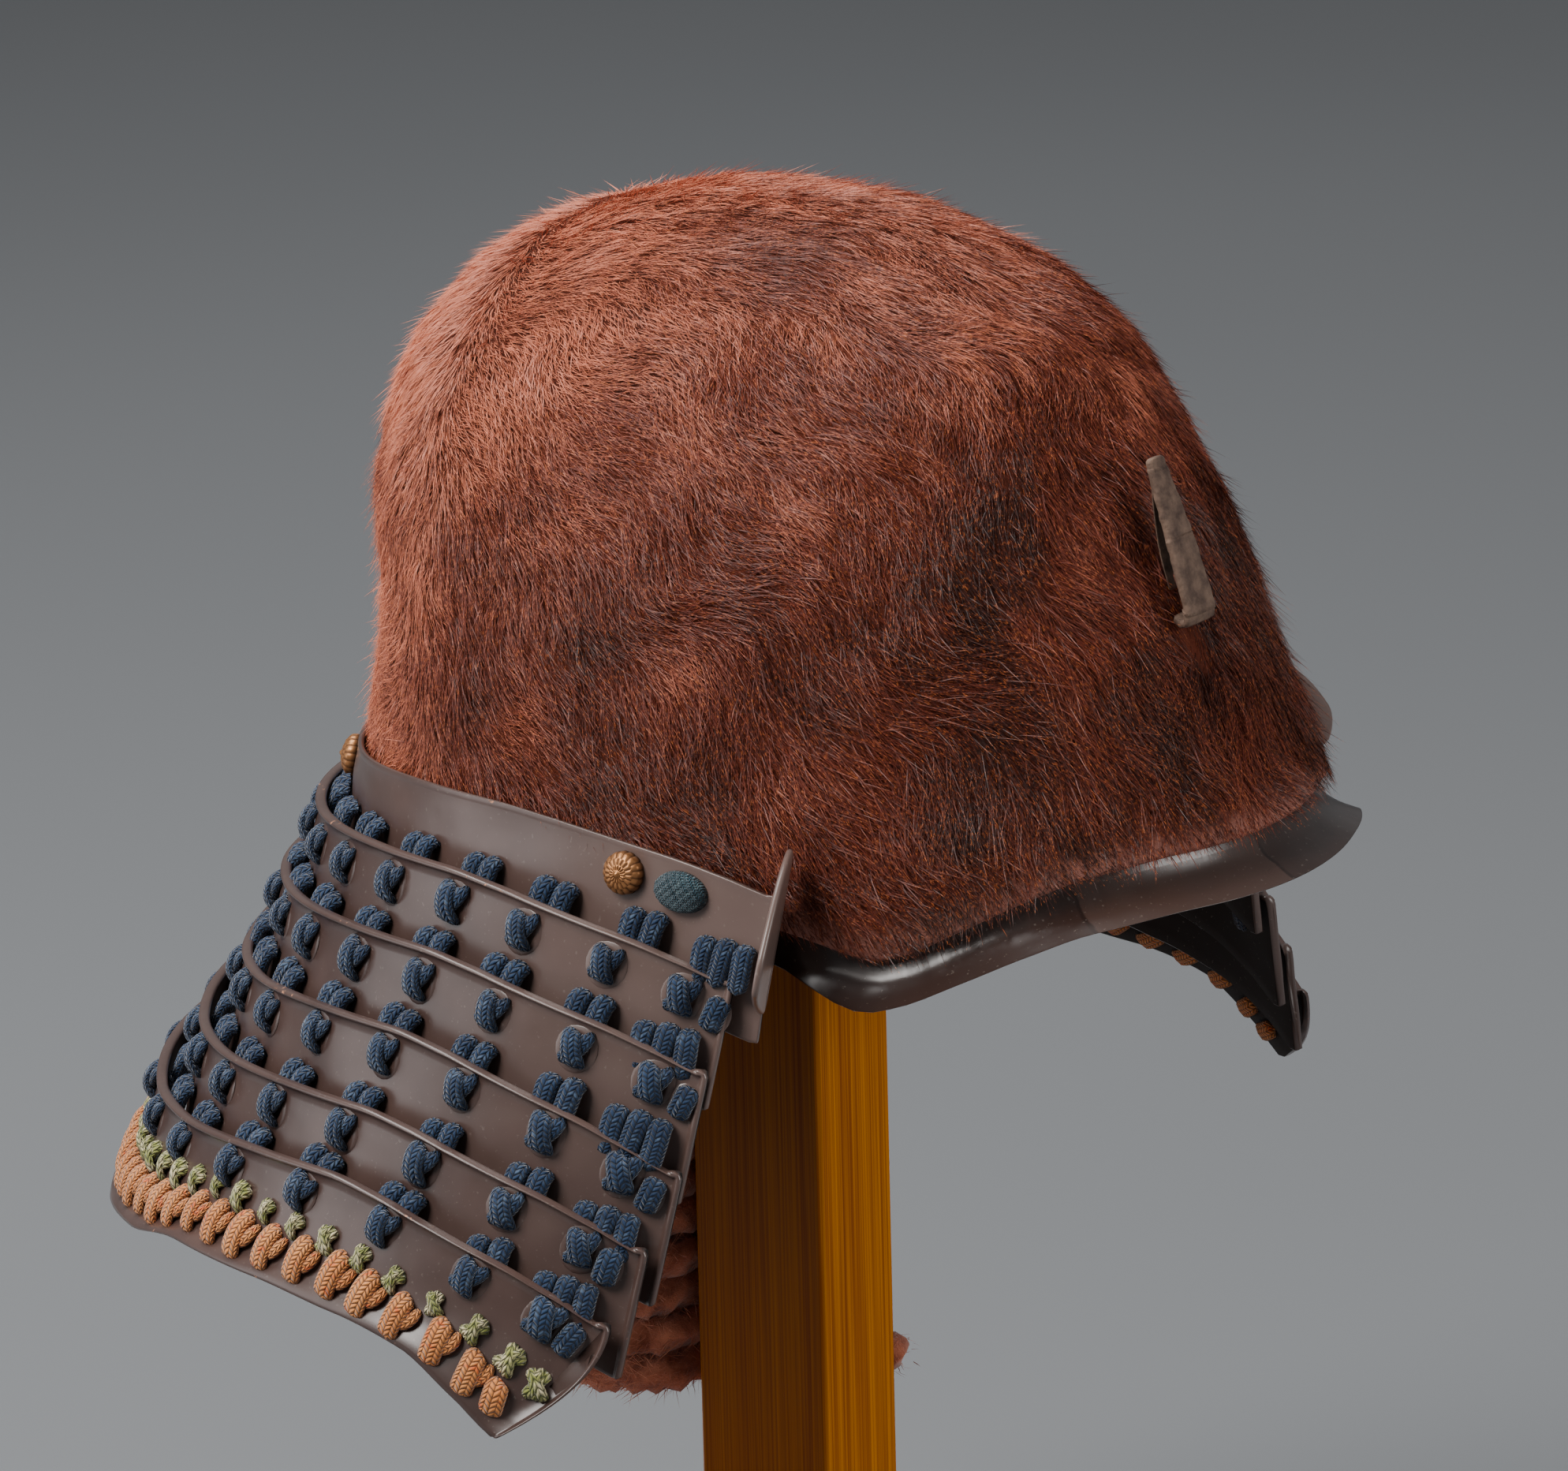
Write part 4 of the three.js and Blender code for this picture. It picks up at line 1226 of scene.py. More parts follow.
@dataclass
class Studio:
    """Camera, soft lights and a plain pale floor."""

    azimuth: float = -54.0
    elevation: float = 16.5
    roll: float = 1.4
    distance: float = 3000.0
    lens: float = 267.28  # on a 36 mm wide sensor
    datum_right: float = 7.32  # where the helmet's datum stands from the middle of the view
    datum_below: float = 6.0
    floor_size: float = 50.0
    lamps: tuple[Lamp, ...] = (
        Lamp("key", -1.2, 1.5, 0.9, 1.0, 50.0, (1.0, 0.97, 0.94)),
        Lamp("side", 1.9, 0.5, 0.7, 0.9, 21.0, (1.0, 0.98, 0.96)),
        Lamp("left", -1.7, 0.25, 0.1, 1.3, 10.0, (0.97, 0.98, 1.0)),
        Lamp("top", -0.5, 1.6, -0.5, 1.1, 34.0, (1.0, 0.98, 0.97)),
    )
    sky: tuple[float, float, float, float] = (0.82, 0.83, 0.85, 1.0)
    sky_strength: float = 0.22

    def axes(self) -> tuple[Vector, Vector, Vector]:
        """The view's right, up and backward directions."""
        a, e, r = (math.radians(v) for v in (self.azimuth, self.elevation, self.roll))
        back = Vector((math.sin(a) * math.cos(e), -math.cos(a) * math.cos(e), math.sin(e)))
        level = Vector((math.cos(a), math.sin(a), 0))
        upright = back.cross(level)
        right = level * math.cos(r) - upright * math.sin(r)
        up = level * math.sin(r) + upright * math.cos(r)
        return right, up, back

    def set_camera(self) -> None:
        """Makes the camera at the view's angle."""
        right, up, back = self.axes()
        target = Vector(DATUM) - right * self.datum_right + up * self.datum_below
        data = bpy.data.cameras.new("view")
        data.lens, data.sensor_width, data.sensor_fit = self.lens, 36.0, "HORIZONTAL"
        data.clip_start, data.clip_end = 0.1, 60.0
        camera = bpy.data.objects.new("view", data)
        matrix = Matrix((right, up, back)).transposed().to_4x4()
        matrix.translation = (target + back * self.distance) * MM
        camera.matrix_world = matrix
        bpy.context.scene.collection.objects.link(camera)
        bpy.context.scene.camera = camera

    def add_lamp(self, lamp: Lamp) -> None:
        """Adds a soft box that faces the helmet."""
        cosine, sine = math.cos(math.radians(self.azimuth)), math.sin(math.radians(self.azimuth))
        aim = Vector(DATUM) * MM
        place = aim + Vector((cosine, sine, 0)) * lamp.right + Vector((0, 0, lamp.up))
        place += Vector((sine, -cosine, 0)) * lamp.near
        data = bpy.data.lights.new(lamp.name, "AREA")
        data.shape, data.size, data.energy, data.color = "SQUARE", lamp.size, lamp.power, lamp.colour
        light = bpy.data.objects.new(lamp.name, data)
        light.location = place
        light.rotation_mode = "QUATERNION"
        light.rotation_quaternion = (aim - place).to_track_quat("-Z", "Y")
        bpy.context.scene.collection.objects.link(light)

    def build(self) -> None:
        """Sets the camera, the lamps, the surroundings and the floor."""
        self.set_camera()
        for lamp in self.lamps:
            self.add_lamp(lamp)
        world = bpy.data.worlds.new("studio")
        world.use_nodes = True
        sky = world.node_tree.nodes["Background"]
        sky.inputs[0].default_value, sky.inputs[1].default_value = self.sky, self.sky_strength
        bpy.context.scene.world = world
        half = self.floor_size / 2
        corners = [(-half, -half, 0), (half, -half, 0), (half, half, 0), (-half, half, 0)]
        mesh = bpy.data.meshes.new("floor")
        mesh.from_pydata(corners, [], [(0, 1, 2, 3)])
        mesh.materials.append(Floor().material())
        floor = bpy.data.objects.new("floor", mesh)
        bpy.context.scene.collection.objects.link(floor)


@dataclass
class Assembly:
    """A sub-assembly, which takes its materials from the shared finishes."""

    finishes: Finishes


# ------------------------------ chin cord
@dataclass
class ChinCord(Assembly):
    """Spun chin cord: one run winds round the bundle behind the post, the other hangs down its middle."""

    diameter: float = 10.0
    half_wide: float = 22.0
    half_deep: float = 15.0
    turns: float = 10.5
    pitch: float = 10.4
    top: float = -67.0
    behind: float = 53.0
    run: tuple = ((91, -22, -8), (82, -8, -34), (60, 22, -50), (30, 46, -49))  # left, back, height
    inlet: tuple = (-21.5, 53.5, -60.5)  # where the run joins the first turn
    drop: tuple = (
        (9, 52.5, -57), (1.5, 53, -72), (0, 53, -92), (0.5, 53, -120), (-0.5, 53, -150), (0, 53, -176),
    )
    tail: tuple = ((27, 44, -174.5), (31.5, 33, -173), (32.5, 16, -172), (29, -4.2, -171))
    wobble: tuple = ((0.05, 0.73, 0.0), (0.03, 0.31, 1.0))  # size, rate and phase
    twist: tuple[int, float, float] = (3, 17.0, 0.11)  # strands, pitch and height of their ribs
    lap_steps: int = 48
    sides: int = 14
    fluff_sides: int = 10
    fibre_length: float = 6.5
    step: float = 2.4

    def winding(self) -> Array:
        """Middle line of the turns, an oval with round ends, starting at its right side.

        Returns:
            Its points, from top to bottom.
        """
        straight, deep = self.half_wide - self.half_deep, self.half_deep
        quarter, half = np.linspace(0, math.pi / 2, 9), np.linspace(0, math.pi, 17)
        lap = [(-straight - deep * math.cos(t), deep * math.sin(t)) for t in quarter]
        lap += [(straight + deep * math.sin(t), deep * math.cos(t)) for t in half]
        lap += [(-straight - deep * math.sin(t), -deep * math.cos(t)) for t in quarter]
        lap = resample(np.array(lap), self.lap_steps + 1)[:-1]
        count = int(round(self.turns * len(lap)))
        rows = []
        for n in range(count + 1):
            left, back = lap[n % len(lap)]
            ease = 1 + sum(size * math.sin(n * rate + phase) for size, rate, phase in self.wobble)
            rows.append((left * ease, self.behind + back * ease, self.top - self.pitch * n / len(lap)))
        return np.array(rows)

    def wound_line(self) -> Array:
        """Middle line of the run that winds round the bundle."""
        run = np.array([(-x, y, z) for x, y, z in self.run], float)
        wind = self.winding()
        start = spline(np.vstack([run, self.inlet, wind[8:10]]), 60)[:-1]
        end = spline(np.vstack([wind[-3:-1], np.array(self.tail, float)]), 40)[1:]
        line = np.vstack([start, wind[9:-2], end])
        return resample(line, int(length_of(line) / self.step))

    def hanging_line(self) -> Array:
        """Middle line of the run that hangs down the middle of the bundle."""
        line = spline(np.array([*self.run, *self.drop], float), 400)
        return resample(line, int(length_of(line) / self.step))

    def make(self, name: str, line: Array, material: Material, nodes: Sequence[str]) -> None:
        """Args:
            name: The piece's name.
            line: Its middle line.
            material: Its finish.
            nodes: Solids that it stands for.
        """
        work = MeshWork()
        radius = self.diameter / 2
        rings, uv = tube(line, radius * 0.93, radius * 0.93, self.sides, ribs=self.twist)
        spokes = (rings - rings.mean(axis=1, keepdims=True)) / radius
        puffs = 0.9 * waves(rings, 9.0, 61) + 0.6 * waves(rings, 3.6, 62)
        rings = rings + spokes * puffs[..., None]
        work.grid(rings, uv, capped=True)
        piece = work.piece(name, material)
        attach(piece, "root")
        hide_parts(*nodes)
        LOG.info("%s: %.0f mm long", name, length_of(line))

    def fluff(self, name: str, line: Array, density: float, seed: int) -> None:
        """Loose fibres that stand off one run.

        Args:
            name: The piece's name.
            line: Middle line of the run.
            density: Fibres a square metre.
            seed: Fixed seed.
        """
        work = MeshWork()
        sides = self.fluff_sides
        rings, uv = tube(line, self.diameter * 0.46, self.diameter * 0.46, sides, round_ends=False)
        work.grid(rings, uv)
        piece = work.piece(name, self.finishes.fibre, fix=False)
        mesh = piece.data
        near_end = smooth(np.repeat(np.linspace(0, 1, len(line)), sides), 0.985, 1.0)
        set_attribute(mesh, "flow", "FLOAT_VECTOR", np.repeat(unit(np.gradient(line, axis=0)), sides, axis=0))
        for name_ in ("cover", "reach"):
            set_attribute(mesh, name_, "FLOAT", 1 - 0.6 * near_end)
        middles = np.array([face.center for face in mesh.polygons]) / MM - np.array(DATUM)
        outwards = middles - line[np.repeat(np.arange(len(line) - 1), len(middles) // (len(line) - 1))]
        normals = np.array([face.normal for face in mesh.polygons])
        if np.sum(normals * outwards) < 0:
            mesh.flip_normals()
        strand = hair_shape("cord_strand", self.fibre_length, 0.1, self.finishes.fibre)
        grow(piece, "lay_hairs", {
            "Hair": strand, "Finish": self.finishes.fibre, "Density": density, "Seed": seed,
            "Shortest": 0.5, "Longest": 1.5, "Heading": 1.2, "Roll": 1.0, "Lift": 0.42, "Stray": 0.7,
        })
        discard(strand)
        settle(piece, "rust_cord")

    def build(self) -> None:
        """Builds both runs with their fibres."""
        wound, hanging = self.wound_line(), self.hanging_line()
        nodes = ("chin_cord_right", "chin_cord_hank", "chin_cord_end")
        self.make("chin_cord_wound", wound, self.finishes.cord, nodes)
        self.make("chin_cord_hanging", hanging, self.finishes.cord, ("chin_cord_left",))
        self.fluff("cord_fibres_wound", wound, 520000.0, 5)
        self.fluff("cord_fibres_hanging", hanging, 420000.0, 6)


# ------------------------------ bowl
@dataclass
class Bowl(Assembly):
    """Iron shell with its turned-out brim, and the hide with its fur."""

    form: BowlForm = BOWL
    hide_wall: float = 3.0
    hide_gap: float = 0.7
    skin_inset: float = 0.4
    crown_press: float = 2.0  # how much lower the hide lies at the crown, under its hair
    shell_wall: float = 2.4
    lip_out: Table = Table((0, 1, 2, 3), (0.4, 2.4, 6.4, 12))
    lip_down: Table = Table((0, 1, 2, 3), (2, 5.4, 8.4, 10.8))
    lip_wall: float = 1.8
    fade: tuple[float, float] = (62.0, 73.0)
    round_steps: int = 180
    dome_steps: int = 44
    sectors: int = 5
    hair_length: float = 9.6
    hair_half_width: float = 0.092
    hairs: float = 1.93e6  # a square metre
    prong_foot: tuple[float, float, float] = (0.0, -118.0, 52.0)  # where the fur is worn round the prong

    def dome(self, inset: float, lumps: bool = False) -> Array:
        """Rings of one surface from the hide's edge to the crown.

        Args:
            inset: How far inside the outer form.
            lumps: Whether it has the hide's lumps.

        Returns:
            The rings.
        """
        angle = np.linspace(0, 360, self.round_steps, endpoint=False)
        low = self.form.position_at(self.form.edge_height(angle))
        share = np.linspace(0, 1, self.dome_steps)[:, None] ** 0.9
        position = low + (self.form.crown - low) * share
        angles = np.broadcast_to(angle, position.shape)
        out = self.lumps(position, angles) if lumps else 0.0
        return self.form.point(position, angles, inset - out + 0 * position)

    def lumps(self, position: Array, angle: Array) -> Array:
        """How far the hide stands proud of its even form: soft lumps and creases.

        Args:
            position: Row positions.
            angle: Plan angles.

        Returns:
            Height at each place.
        """
        place = self.form.surface(position, angle)
        lump = 0.5 * waves(place, 34.0, 3) + 0.28 * waves(place, 13.0, 4)
        crease = waves(place * np.array([1.0, 1.0, 0.45]), 30.0, 8)
        pressed = self.crown_press * smooth(place[..., 2], 60, 120)
        return np.clip(0.55 + lump - pressed - 0.9 * np.exp(-((crease / 0.16) ** 2)), -1.9, 1.9)

    def build_shell(self) -> None:
        """Builds the iron shell and its brim."""
        inset = self.hide_wall + self.hide_gap
        work = MeshWork()
        outer = self.dome(inset)[::-1]
        inner = self.dome(inset + self.shell_wall)
        angle = np.linspace(0, 360, self.round_steps, endpoint=False)
        low = self.form.position_at(self.form.edge_height(angle))
        outward = unit(self.form.outward(low, angle) * np.array([1, 1, 0]))
        flare = 1 - smooth(from_front(angle), *self.fade)

        def lip(rows: Array, back: float) -> Array:
            """Rings of the lip on one side of its wall.

            Args:
                rows: Positions along the lip.
                back: Distance behind its upper side.

            Returns:
                The rings.
            """
            start = self.form.point(low, angle, inset + back + 0 * low)
            rings = []
            for row in rows:
                out, down = self.lip_out.at(row), self.lip_down.at(row)
                ring = start + outward * (out * flare)[:, None]
                ring[:, 2] = start[:, 2] - down + back * flare * 0.4
                rings.append(ring)
            return np.array(rings)

        rows = np.linspace(0, 3, 13)
        top, under = lip(rows, 0.0), lip(rows, self.lip_wall)[::-1]
        nose = (top[-1] * 0.5 + under[0] * 0.5) + outward * (0.5 * flare)[:, None] - np.array([0, 0, 0.25])
        near_top = top[-1] * 0.82 + nose * 0.18 + outward * (0.2 * flare)[:, None]
        near_under = under[0] * 0.82 + nose * 0.18 + outward * (0.1 * flare)[:, None]
        rings = np.concatenate([outer, top, near_top[None], nose[None], near_under[None], under, inner])
        mark = np.zeros(len(rings))
        edge = len(outer) + len(top)
        mark[edge - 1 : edge + 4] = (0.5, 0.9, 1.0, 0.8, 0.3)
        work.grid(rings, mark=mark[:, None])
        settle(work.piece("bowl_iron", self.finishes.brim), "lacquer", "bowl_shell")

    def build_hide(self) -> None:
        """Builds the skin under the fur, with its trimmed edge."""
        work = MeshWork()
        outer = self.dome(self.skin_inset, lumps=True)[::-1]
        inner = self.dome(self.hide_wall - 0.1)
        lips = [
            outer[-1] * (1 - s) + inner[0] * s - np.array([0, 0, math.sin(s * math.pi) * 0.9])
            for s in (0.2, 0.5, 0.8)
        ]
        rings = np.concatenate([outer, np.array(lips), inner])
        mark = np.zeros(len(rings))
        edge = len(outer)
        mark[edge - 2 : edge + 4] = (0.45, 0.9, 1.0, 1.0, 1.0, 0.6)
        work.grid(rings, mark=mark[:, None])
        settle(work.piece("hide_skin", self.finishes.hide), "fur", "fur_hide")

    def flow(self, place: Array, normal: Array) -> Array:
        """Direction in which the hair lies at each place, along the surface.

        Args:
            place: Places from the datum.
            normal: Outward directions there.

        Returns:
            Unit directions.
        """
        back = smooth(place[:, 1], 34, 84)[:, None]
        low = smooth(place[:, 2], 135, 50)[:, None]
        front = np.concatenate([0 * low, -1.0 + 0.42 * low, -0.35 - 0.5 * low], axis=1)
        rear = np.array([0.0, 0.55, -0.95])
        lay = front * (1 - back) + rear * back
        lay = unit(lay - normal * np.sum(lay * normal, axis=1, keepdims=True))
        swirl = 0.42 * waves(place, 52.0, 21) + 0.2 * waves(place, 17.0, 22)
        across = np.cross(normal, lay)
        return lay * np.cos(swirl)[:, None] + across * np.sin(swirl)[:, None]

    def tone(self, place: Array) -> Array:
        """Tone of the fur from dark (0) to light (1), with a painted sheen on its top and back and painted
        shade at its front.

        Args:
            place: Places from the datum.

        Returns:
            The tone at each.
        """
        streak = place * np.array([1.0, 0.55, 0.8])
        back, high = place[:, 1], place[:, 2]
        patches = 0.09 * waves(place, 62.0, 31) + 0.12 * waves(streak, 20.0, 32)
        patches += 0.09 * waves(place, 8.0, 33)
        # painted sheen: paler towards the top and the back; painted shade: darker towards the front; also
        # darker towards the lower edge
        paler = 0.3 * smooth(high, 70, 140) + 0.4 * smooth(back, -30, 85)
        darker = 0.1 * smooth(-back, 30, 110) + 0.12 * smooth(high, 20, -15)
        return 0.42 + patches + paler - darker

    def build_fur(self) -> None:
        """Lays the hairs, one piece for each sector of the bowl."""
        hair = hair_shape("fur_strand", self.hair_length, self.hair_half_width, self.finishes.hair)
        density = self.hairs * 1.0
        span = 360 / self.sectors
        for sector in range(self.sectors):
            angle = np.linspace(sector * span, (sector + 1) * span, 37) - span / 2
            low = self.form.position_at(self.form.edge_height(angle) - 0.5)
            share = np.linspace(0, 1, 60)[:, None] ** 0.9
            position = np.minimum(low + (self.form.crown - low) * share, self.form.crown - 0.02)
            angles = np.broadcast_to(angle, position.shape)
            out = self.lumps(position, angles) - self.skin_inset
            rings = self.form.point(position, angles, -out)
            normal = self.form.outward(position, angles).reshape(-1, 3)
            place = rings.reshape(-1, 3)
            work = MeshWork()
            work.grid(rings, closed=False)
            piece = work.piece(f"fur_{sector + 1}", self.finishes.hair, fix=False)
            above = place[:, 2] - self.form.edge_height(angles).reshape(-1)
            foot = np.linalg.norm(place - np.array(self.prong_foot), axis=1)
            ahead = smooth(-place[:, 1], 20, 110) * smooth(place[:, 2], 90, 30)
            cover = (0.4 + 0.6 * smooth(above, 0.5, 7)) * smooth(foot, 5, 13)
            reach = (0.8 + 0.5 * ahead) * (0.45 + 0.55 * smooth(above, 1, 20))
            tone = self.tone(place) - 0.3 * np.exp(-((foot / 13) ** 2))
            set_attribute(piece.data, "flow", "FLOAT_VECTOR", self.flow(place, normal))
            for name, values in (("tone", tone), ("cover", cover), ("reach", reach)):
                set_attribute(piece.data, name, "FLOAT", values)
            grow(piece, "lay_hairs", {
                "Hair": hair, "Finish": self.finishes.hair, "Density": density, "Seed": 40 + sector,
                "Shortest": 0.5, "Longest": 1.3, "Heading": 0.4, "Roll": 0.8, "Lift": 0.1, "Stray": 0.6,
            })
            settle(piece, "fur")
        discard(hair)

    def build(self) -> None:
        """Builds the shell, the hide and the fur."""
        self.build_shell()
        self.build_hide()
        self.build_fur()


# ------------------------------ neck guard
@dataclass
class NeckGuard(Assembly):
    """Six lacquered lames with rolled edges; the top one carries the wings."""

    lames: tuple[LameForm, ...] = LAMES
    steps: int = 92
    hem_bead: float = 1.0
    wave: float = 0.22
    wing_heading: float = 27.5
    wing_wall: float = 1.8
    wing_lean: float = 0.13
    wing_top: float = 12.4
    wing_reach: float = 29.5
    wing_reach_height: float = -9.5
    wing_foot: float = -30.5

    # Rolled edges as distance from the edge, share of the bead's height and wear mark.
    BEAD = (
        (0.05, 0.45, 0.9), (0.2, 0.85, 1.0), (0.5, 1.0, 1.0), (0.85, 1.0, 0.8),
        (1.2, 0.8, 0.45), (1.5, 0.4, 0.2), (1.85, 0.1, 0.05),
    )
    HEM_BEAD = ((-4.0, 0.0, 0.1), (-3.0, 0.4, 0.35), (-2.2, 0.9, 0.6), (-1.0, 1.0, 0.9), (-0.25, 0.7, 1.0))
    END_BEAD = (
        (0.0, 0.25, 1.0), (0.15, 0.8, 1.0), (0.5, 1.0, 0.9), (0.95, 1.0, 0.6),
        (1.3, 0.7, 0.3), (1.65, 0.25, 0.1), (2.2, 0.0, 0.0),
    )

    def section(self, lame: LameForm) -> list[tuple[float, float, float]]:
        """Cross-section of a lame: down, out and wear mark; a negative down is measured up from the hem.

        Args:
            lame: The lame.

        Returns:
            The rows of its section.
        """
        bead, wall = lame.bead, lame.wall
        hem = self.hem_bead if lame.is_last else 0.0
        rows = [(3.0, -wall, 0.0), (1.0, -wall, 0.2), (0.3, -wall * 0.8, 0.5), (0.0, -wall * 0.35, 0.8)]
        rows += [(down, bead * share, mark) for down, share, mark in self.BEAD]
        rows += [(4.0, 0.0, 0.0)]
        rows += [(d, 0.0, 0.0) for d in np.arange(6.0, lame.tall - 4.5, 2.2)]
        rows += [(down, hem * share, mark) for down, share, mark in self.HEM_BEAD]
        rows += [(-0.0001, hem * 0.2 - 0.3, 1.0), (-0.0001, -wall * 0.7, 0.8)]
        rows += [(-0.4, -wall, 0.4), (-4.0, -wall, 0.0)]
        rows += [(d, -wall, 0.0) for d in np.arange(lame.tall - 7.0, 5.0, -5.0)]
        return rows

    def lame_rings(self, lame: LameForm) -> tuple[Array, Array, Array]:
        """Rings of a lame from its right front edge to its left, with their map and wear marks.

        Args:
            lame: The lame.

        Returns:
            The rings, their map positions and their wear marks.
        """
        turns = np.linspace(-1, 1, 2 * self.steps + 1)[1:-1]
        stations = [(-1.0, *end) for end in self.END_BEAD]
        stations += [(turn, 0.0, 0.0, 0.0) for turn in turns[np.abs(turns) < 0.985]]
        stations += [(1.0, *end) for end in self.END_BEAD[::-1]]
        section_down, section_out, section_mark = (np.array(c, float) for c in zip(*self.section(lame)))
        outer = section_out > -0.9 * lame.wall
        raised = outer & (section_out >= 0)
        body = np.clip((section_down - 4) / (lame.tall - 8.5), 0, 1)
        rings, uvs, marks = [], [], []
        for turn, back, share, worn in stations:
            t = np.full(len(section_down), turn)
            _, tall = lame.top_and_tall(t)
            down = np.where(section_down > 4, 4 + body * (tall - 8.2), section_down)
            down = np.where(section_down < 0, tall + section_down, down)
            proud = np.maximum(section_out, np.where(raised, share * lame.bead, -9))
            if back == 0.0 and share > 0:
                proud = np.where(outer, np.minimum(proud, lame.bead * 0.3), proud)
            place = lame.point(t, down, proud, back)
            ripple = self.wave * waves(place, 26.0, 50) * smooth(down, 3, 8) * smooth(tall - down, 3, 8)
            place = lame.point(t, down, proud + ripple, back)
            rings.append(place)
            plan = np.degrees(np.arctan2(np.abs(place[:, 0]) / lame.side, -place[:, 1] / lame.back))
            uvs.append(np.stack([plan / 10, np.where(outer, 0.0, 1.0)], axis=1))
            marks.append(np.maximum(section_mark, np.where(outer, worn, worn * 0.4)))
        return np.array(rings), np.array(uvs), np.array(marks)

    def wing_outline(self) -> Array:
        """Outline of a wing in its own plane, x out from the root and y up from the datum.

        Returns:
            Even points round it.
        """
        top, reach, tip, foot = self.wing_top, self.wing_reach, self.wing_reach_height, self.wing_foot
        curves = [
            ((-1, foot + 4), (0.6, foot), (2, foot + 1)),
            ((2, foot + 1), (reach * 0.72, foot + 8), (reach - 1.2, tip - 7)),
            ((reach - 1.2, tip - 7), (reach + 1, tip - 2), (reach - 1, tip + 3)),
            ((reach - 1, tip + 3), (reach * 0.62, top - 1.5), (4, top + 0.8)),
            ((4, top + 0.8), (0, top + 1.4), (-1, top - 1.5)),
        ]
        line = []
        s = np.linspace(0, 1, 12, endpoint=False)[:, None]
        for a, b, c in np.array(curves, float):
            line.append(a * (1 - s) ** 2 + 2 * b * s * (1 - s) + c * s * s)
        line = np.vstack([*line, (-1, top - 1.5)])
        return resample(np.vstack([line, line[:1]]), 81)[:-1]

    def add_wing(self, work: MeshWork, sign: float) -> None:
        """Adds the wing of one side to the top lame's mesh.

        Args:
            work: The top lame's mesh.
            sign: The side, -1 for the right.
        """
        lame = self.lames[0]
        outline = self.wing_outline()
        ahead = unit(np.roll(outline, -1, axis=0) - np.roll(outline, 1, axis=0))
        inward = np.stack([-ahead[:, 1], ahead[:, 0]], axis=1)
        half = self.wing_wall / 2
        profile = [(4.0, half, 0.0), (1.0, half, 0.2), (0.35, half * 0.8, 0.7), (0.0, half * 0.3, 1.0)]
        profile += [(i, -z, m) for i, z, m in profile[::-1]]
        rings = np.array([
            np.column_stack([outline + inward * i, np.full(len(outline), z)]) for i, z, _ in profile
        ])
        root = Vector(lame.point(np.array(sign), np.array(0.35 * lame.tall), np.array(-lame.wall / 2)))
        heading = math.radians(self.wing_heading)
        outward = Vector((sign * math.cos(heading), -math.sin(heading), 0))
        up = Vector((-sign * lame.slope, -self.wing_lean, 1)).normalized()
        across = outward.cross(up).normalized()
        origin = root - up * root.z
        mark = np.array([m for *_, m in profile])[:, None]
        work.grid(rings @ np.array([outward, up, across]) + np.array(origin), mark=mark, capped=True)

    def build(self) -> None:
        """Builds the lames."""
        for number, lame in enumerate(self.lames):
            work = MeshWork()
            rings, uvs, marks = self.lame_rings(lame)
            work.grid(rings, uvs, marks, capped=True)
            if number == 0:
                self.add_wing(work, -1.0)
                self.add_wing(work, 1.0)
            piece = work.piece(f"lame_{number + 1}", self.finishes.lacquer)
            settle(piece, "lacquer", f"neck_lame_{number + 1}")


# ------------------------------ lacing
class KnotKind(Enum):
    """Kinds of lacing that show on the lames."""

    CROSS = "lacing_crosses"
    SINGLE = "lacing_singles"
    PAIR = "lacing_pairs"
    TRIPLE = "lacing_triples"
    HEM = "hem_crosses"
    HEM_END = "hem_end_knots"
    SMALL = "hem_small_knots"
    INNER = "lacing_inner_runs"
    HEM_INNER = "hem_inner_runs"


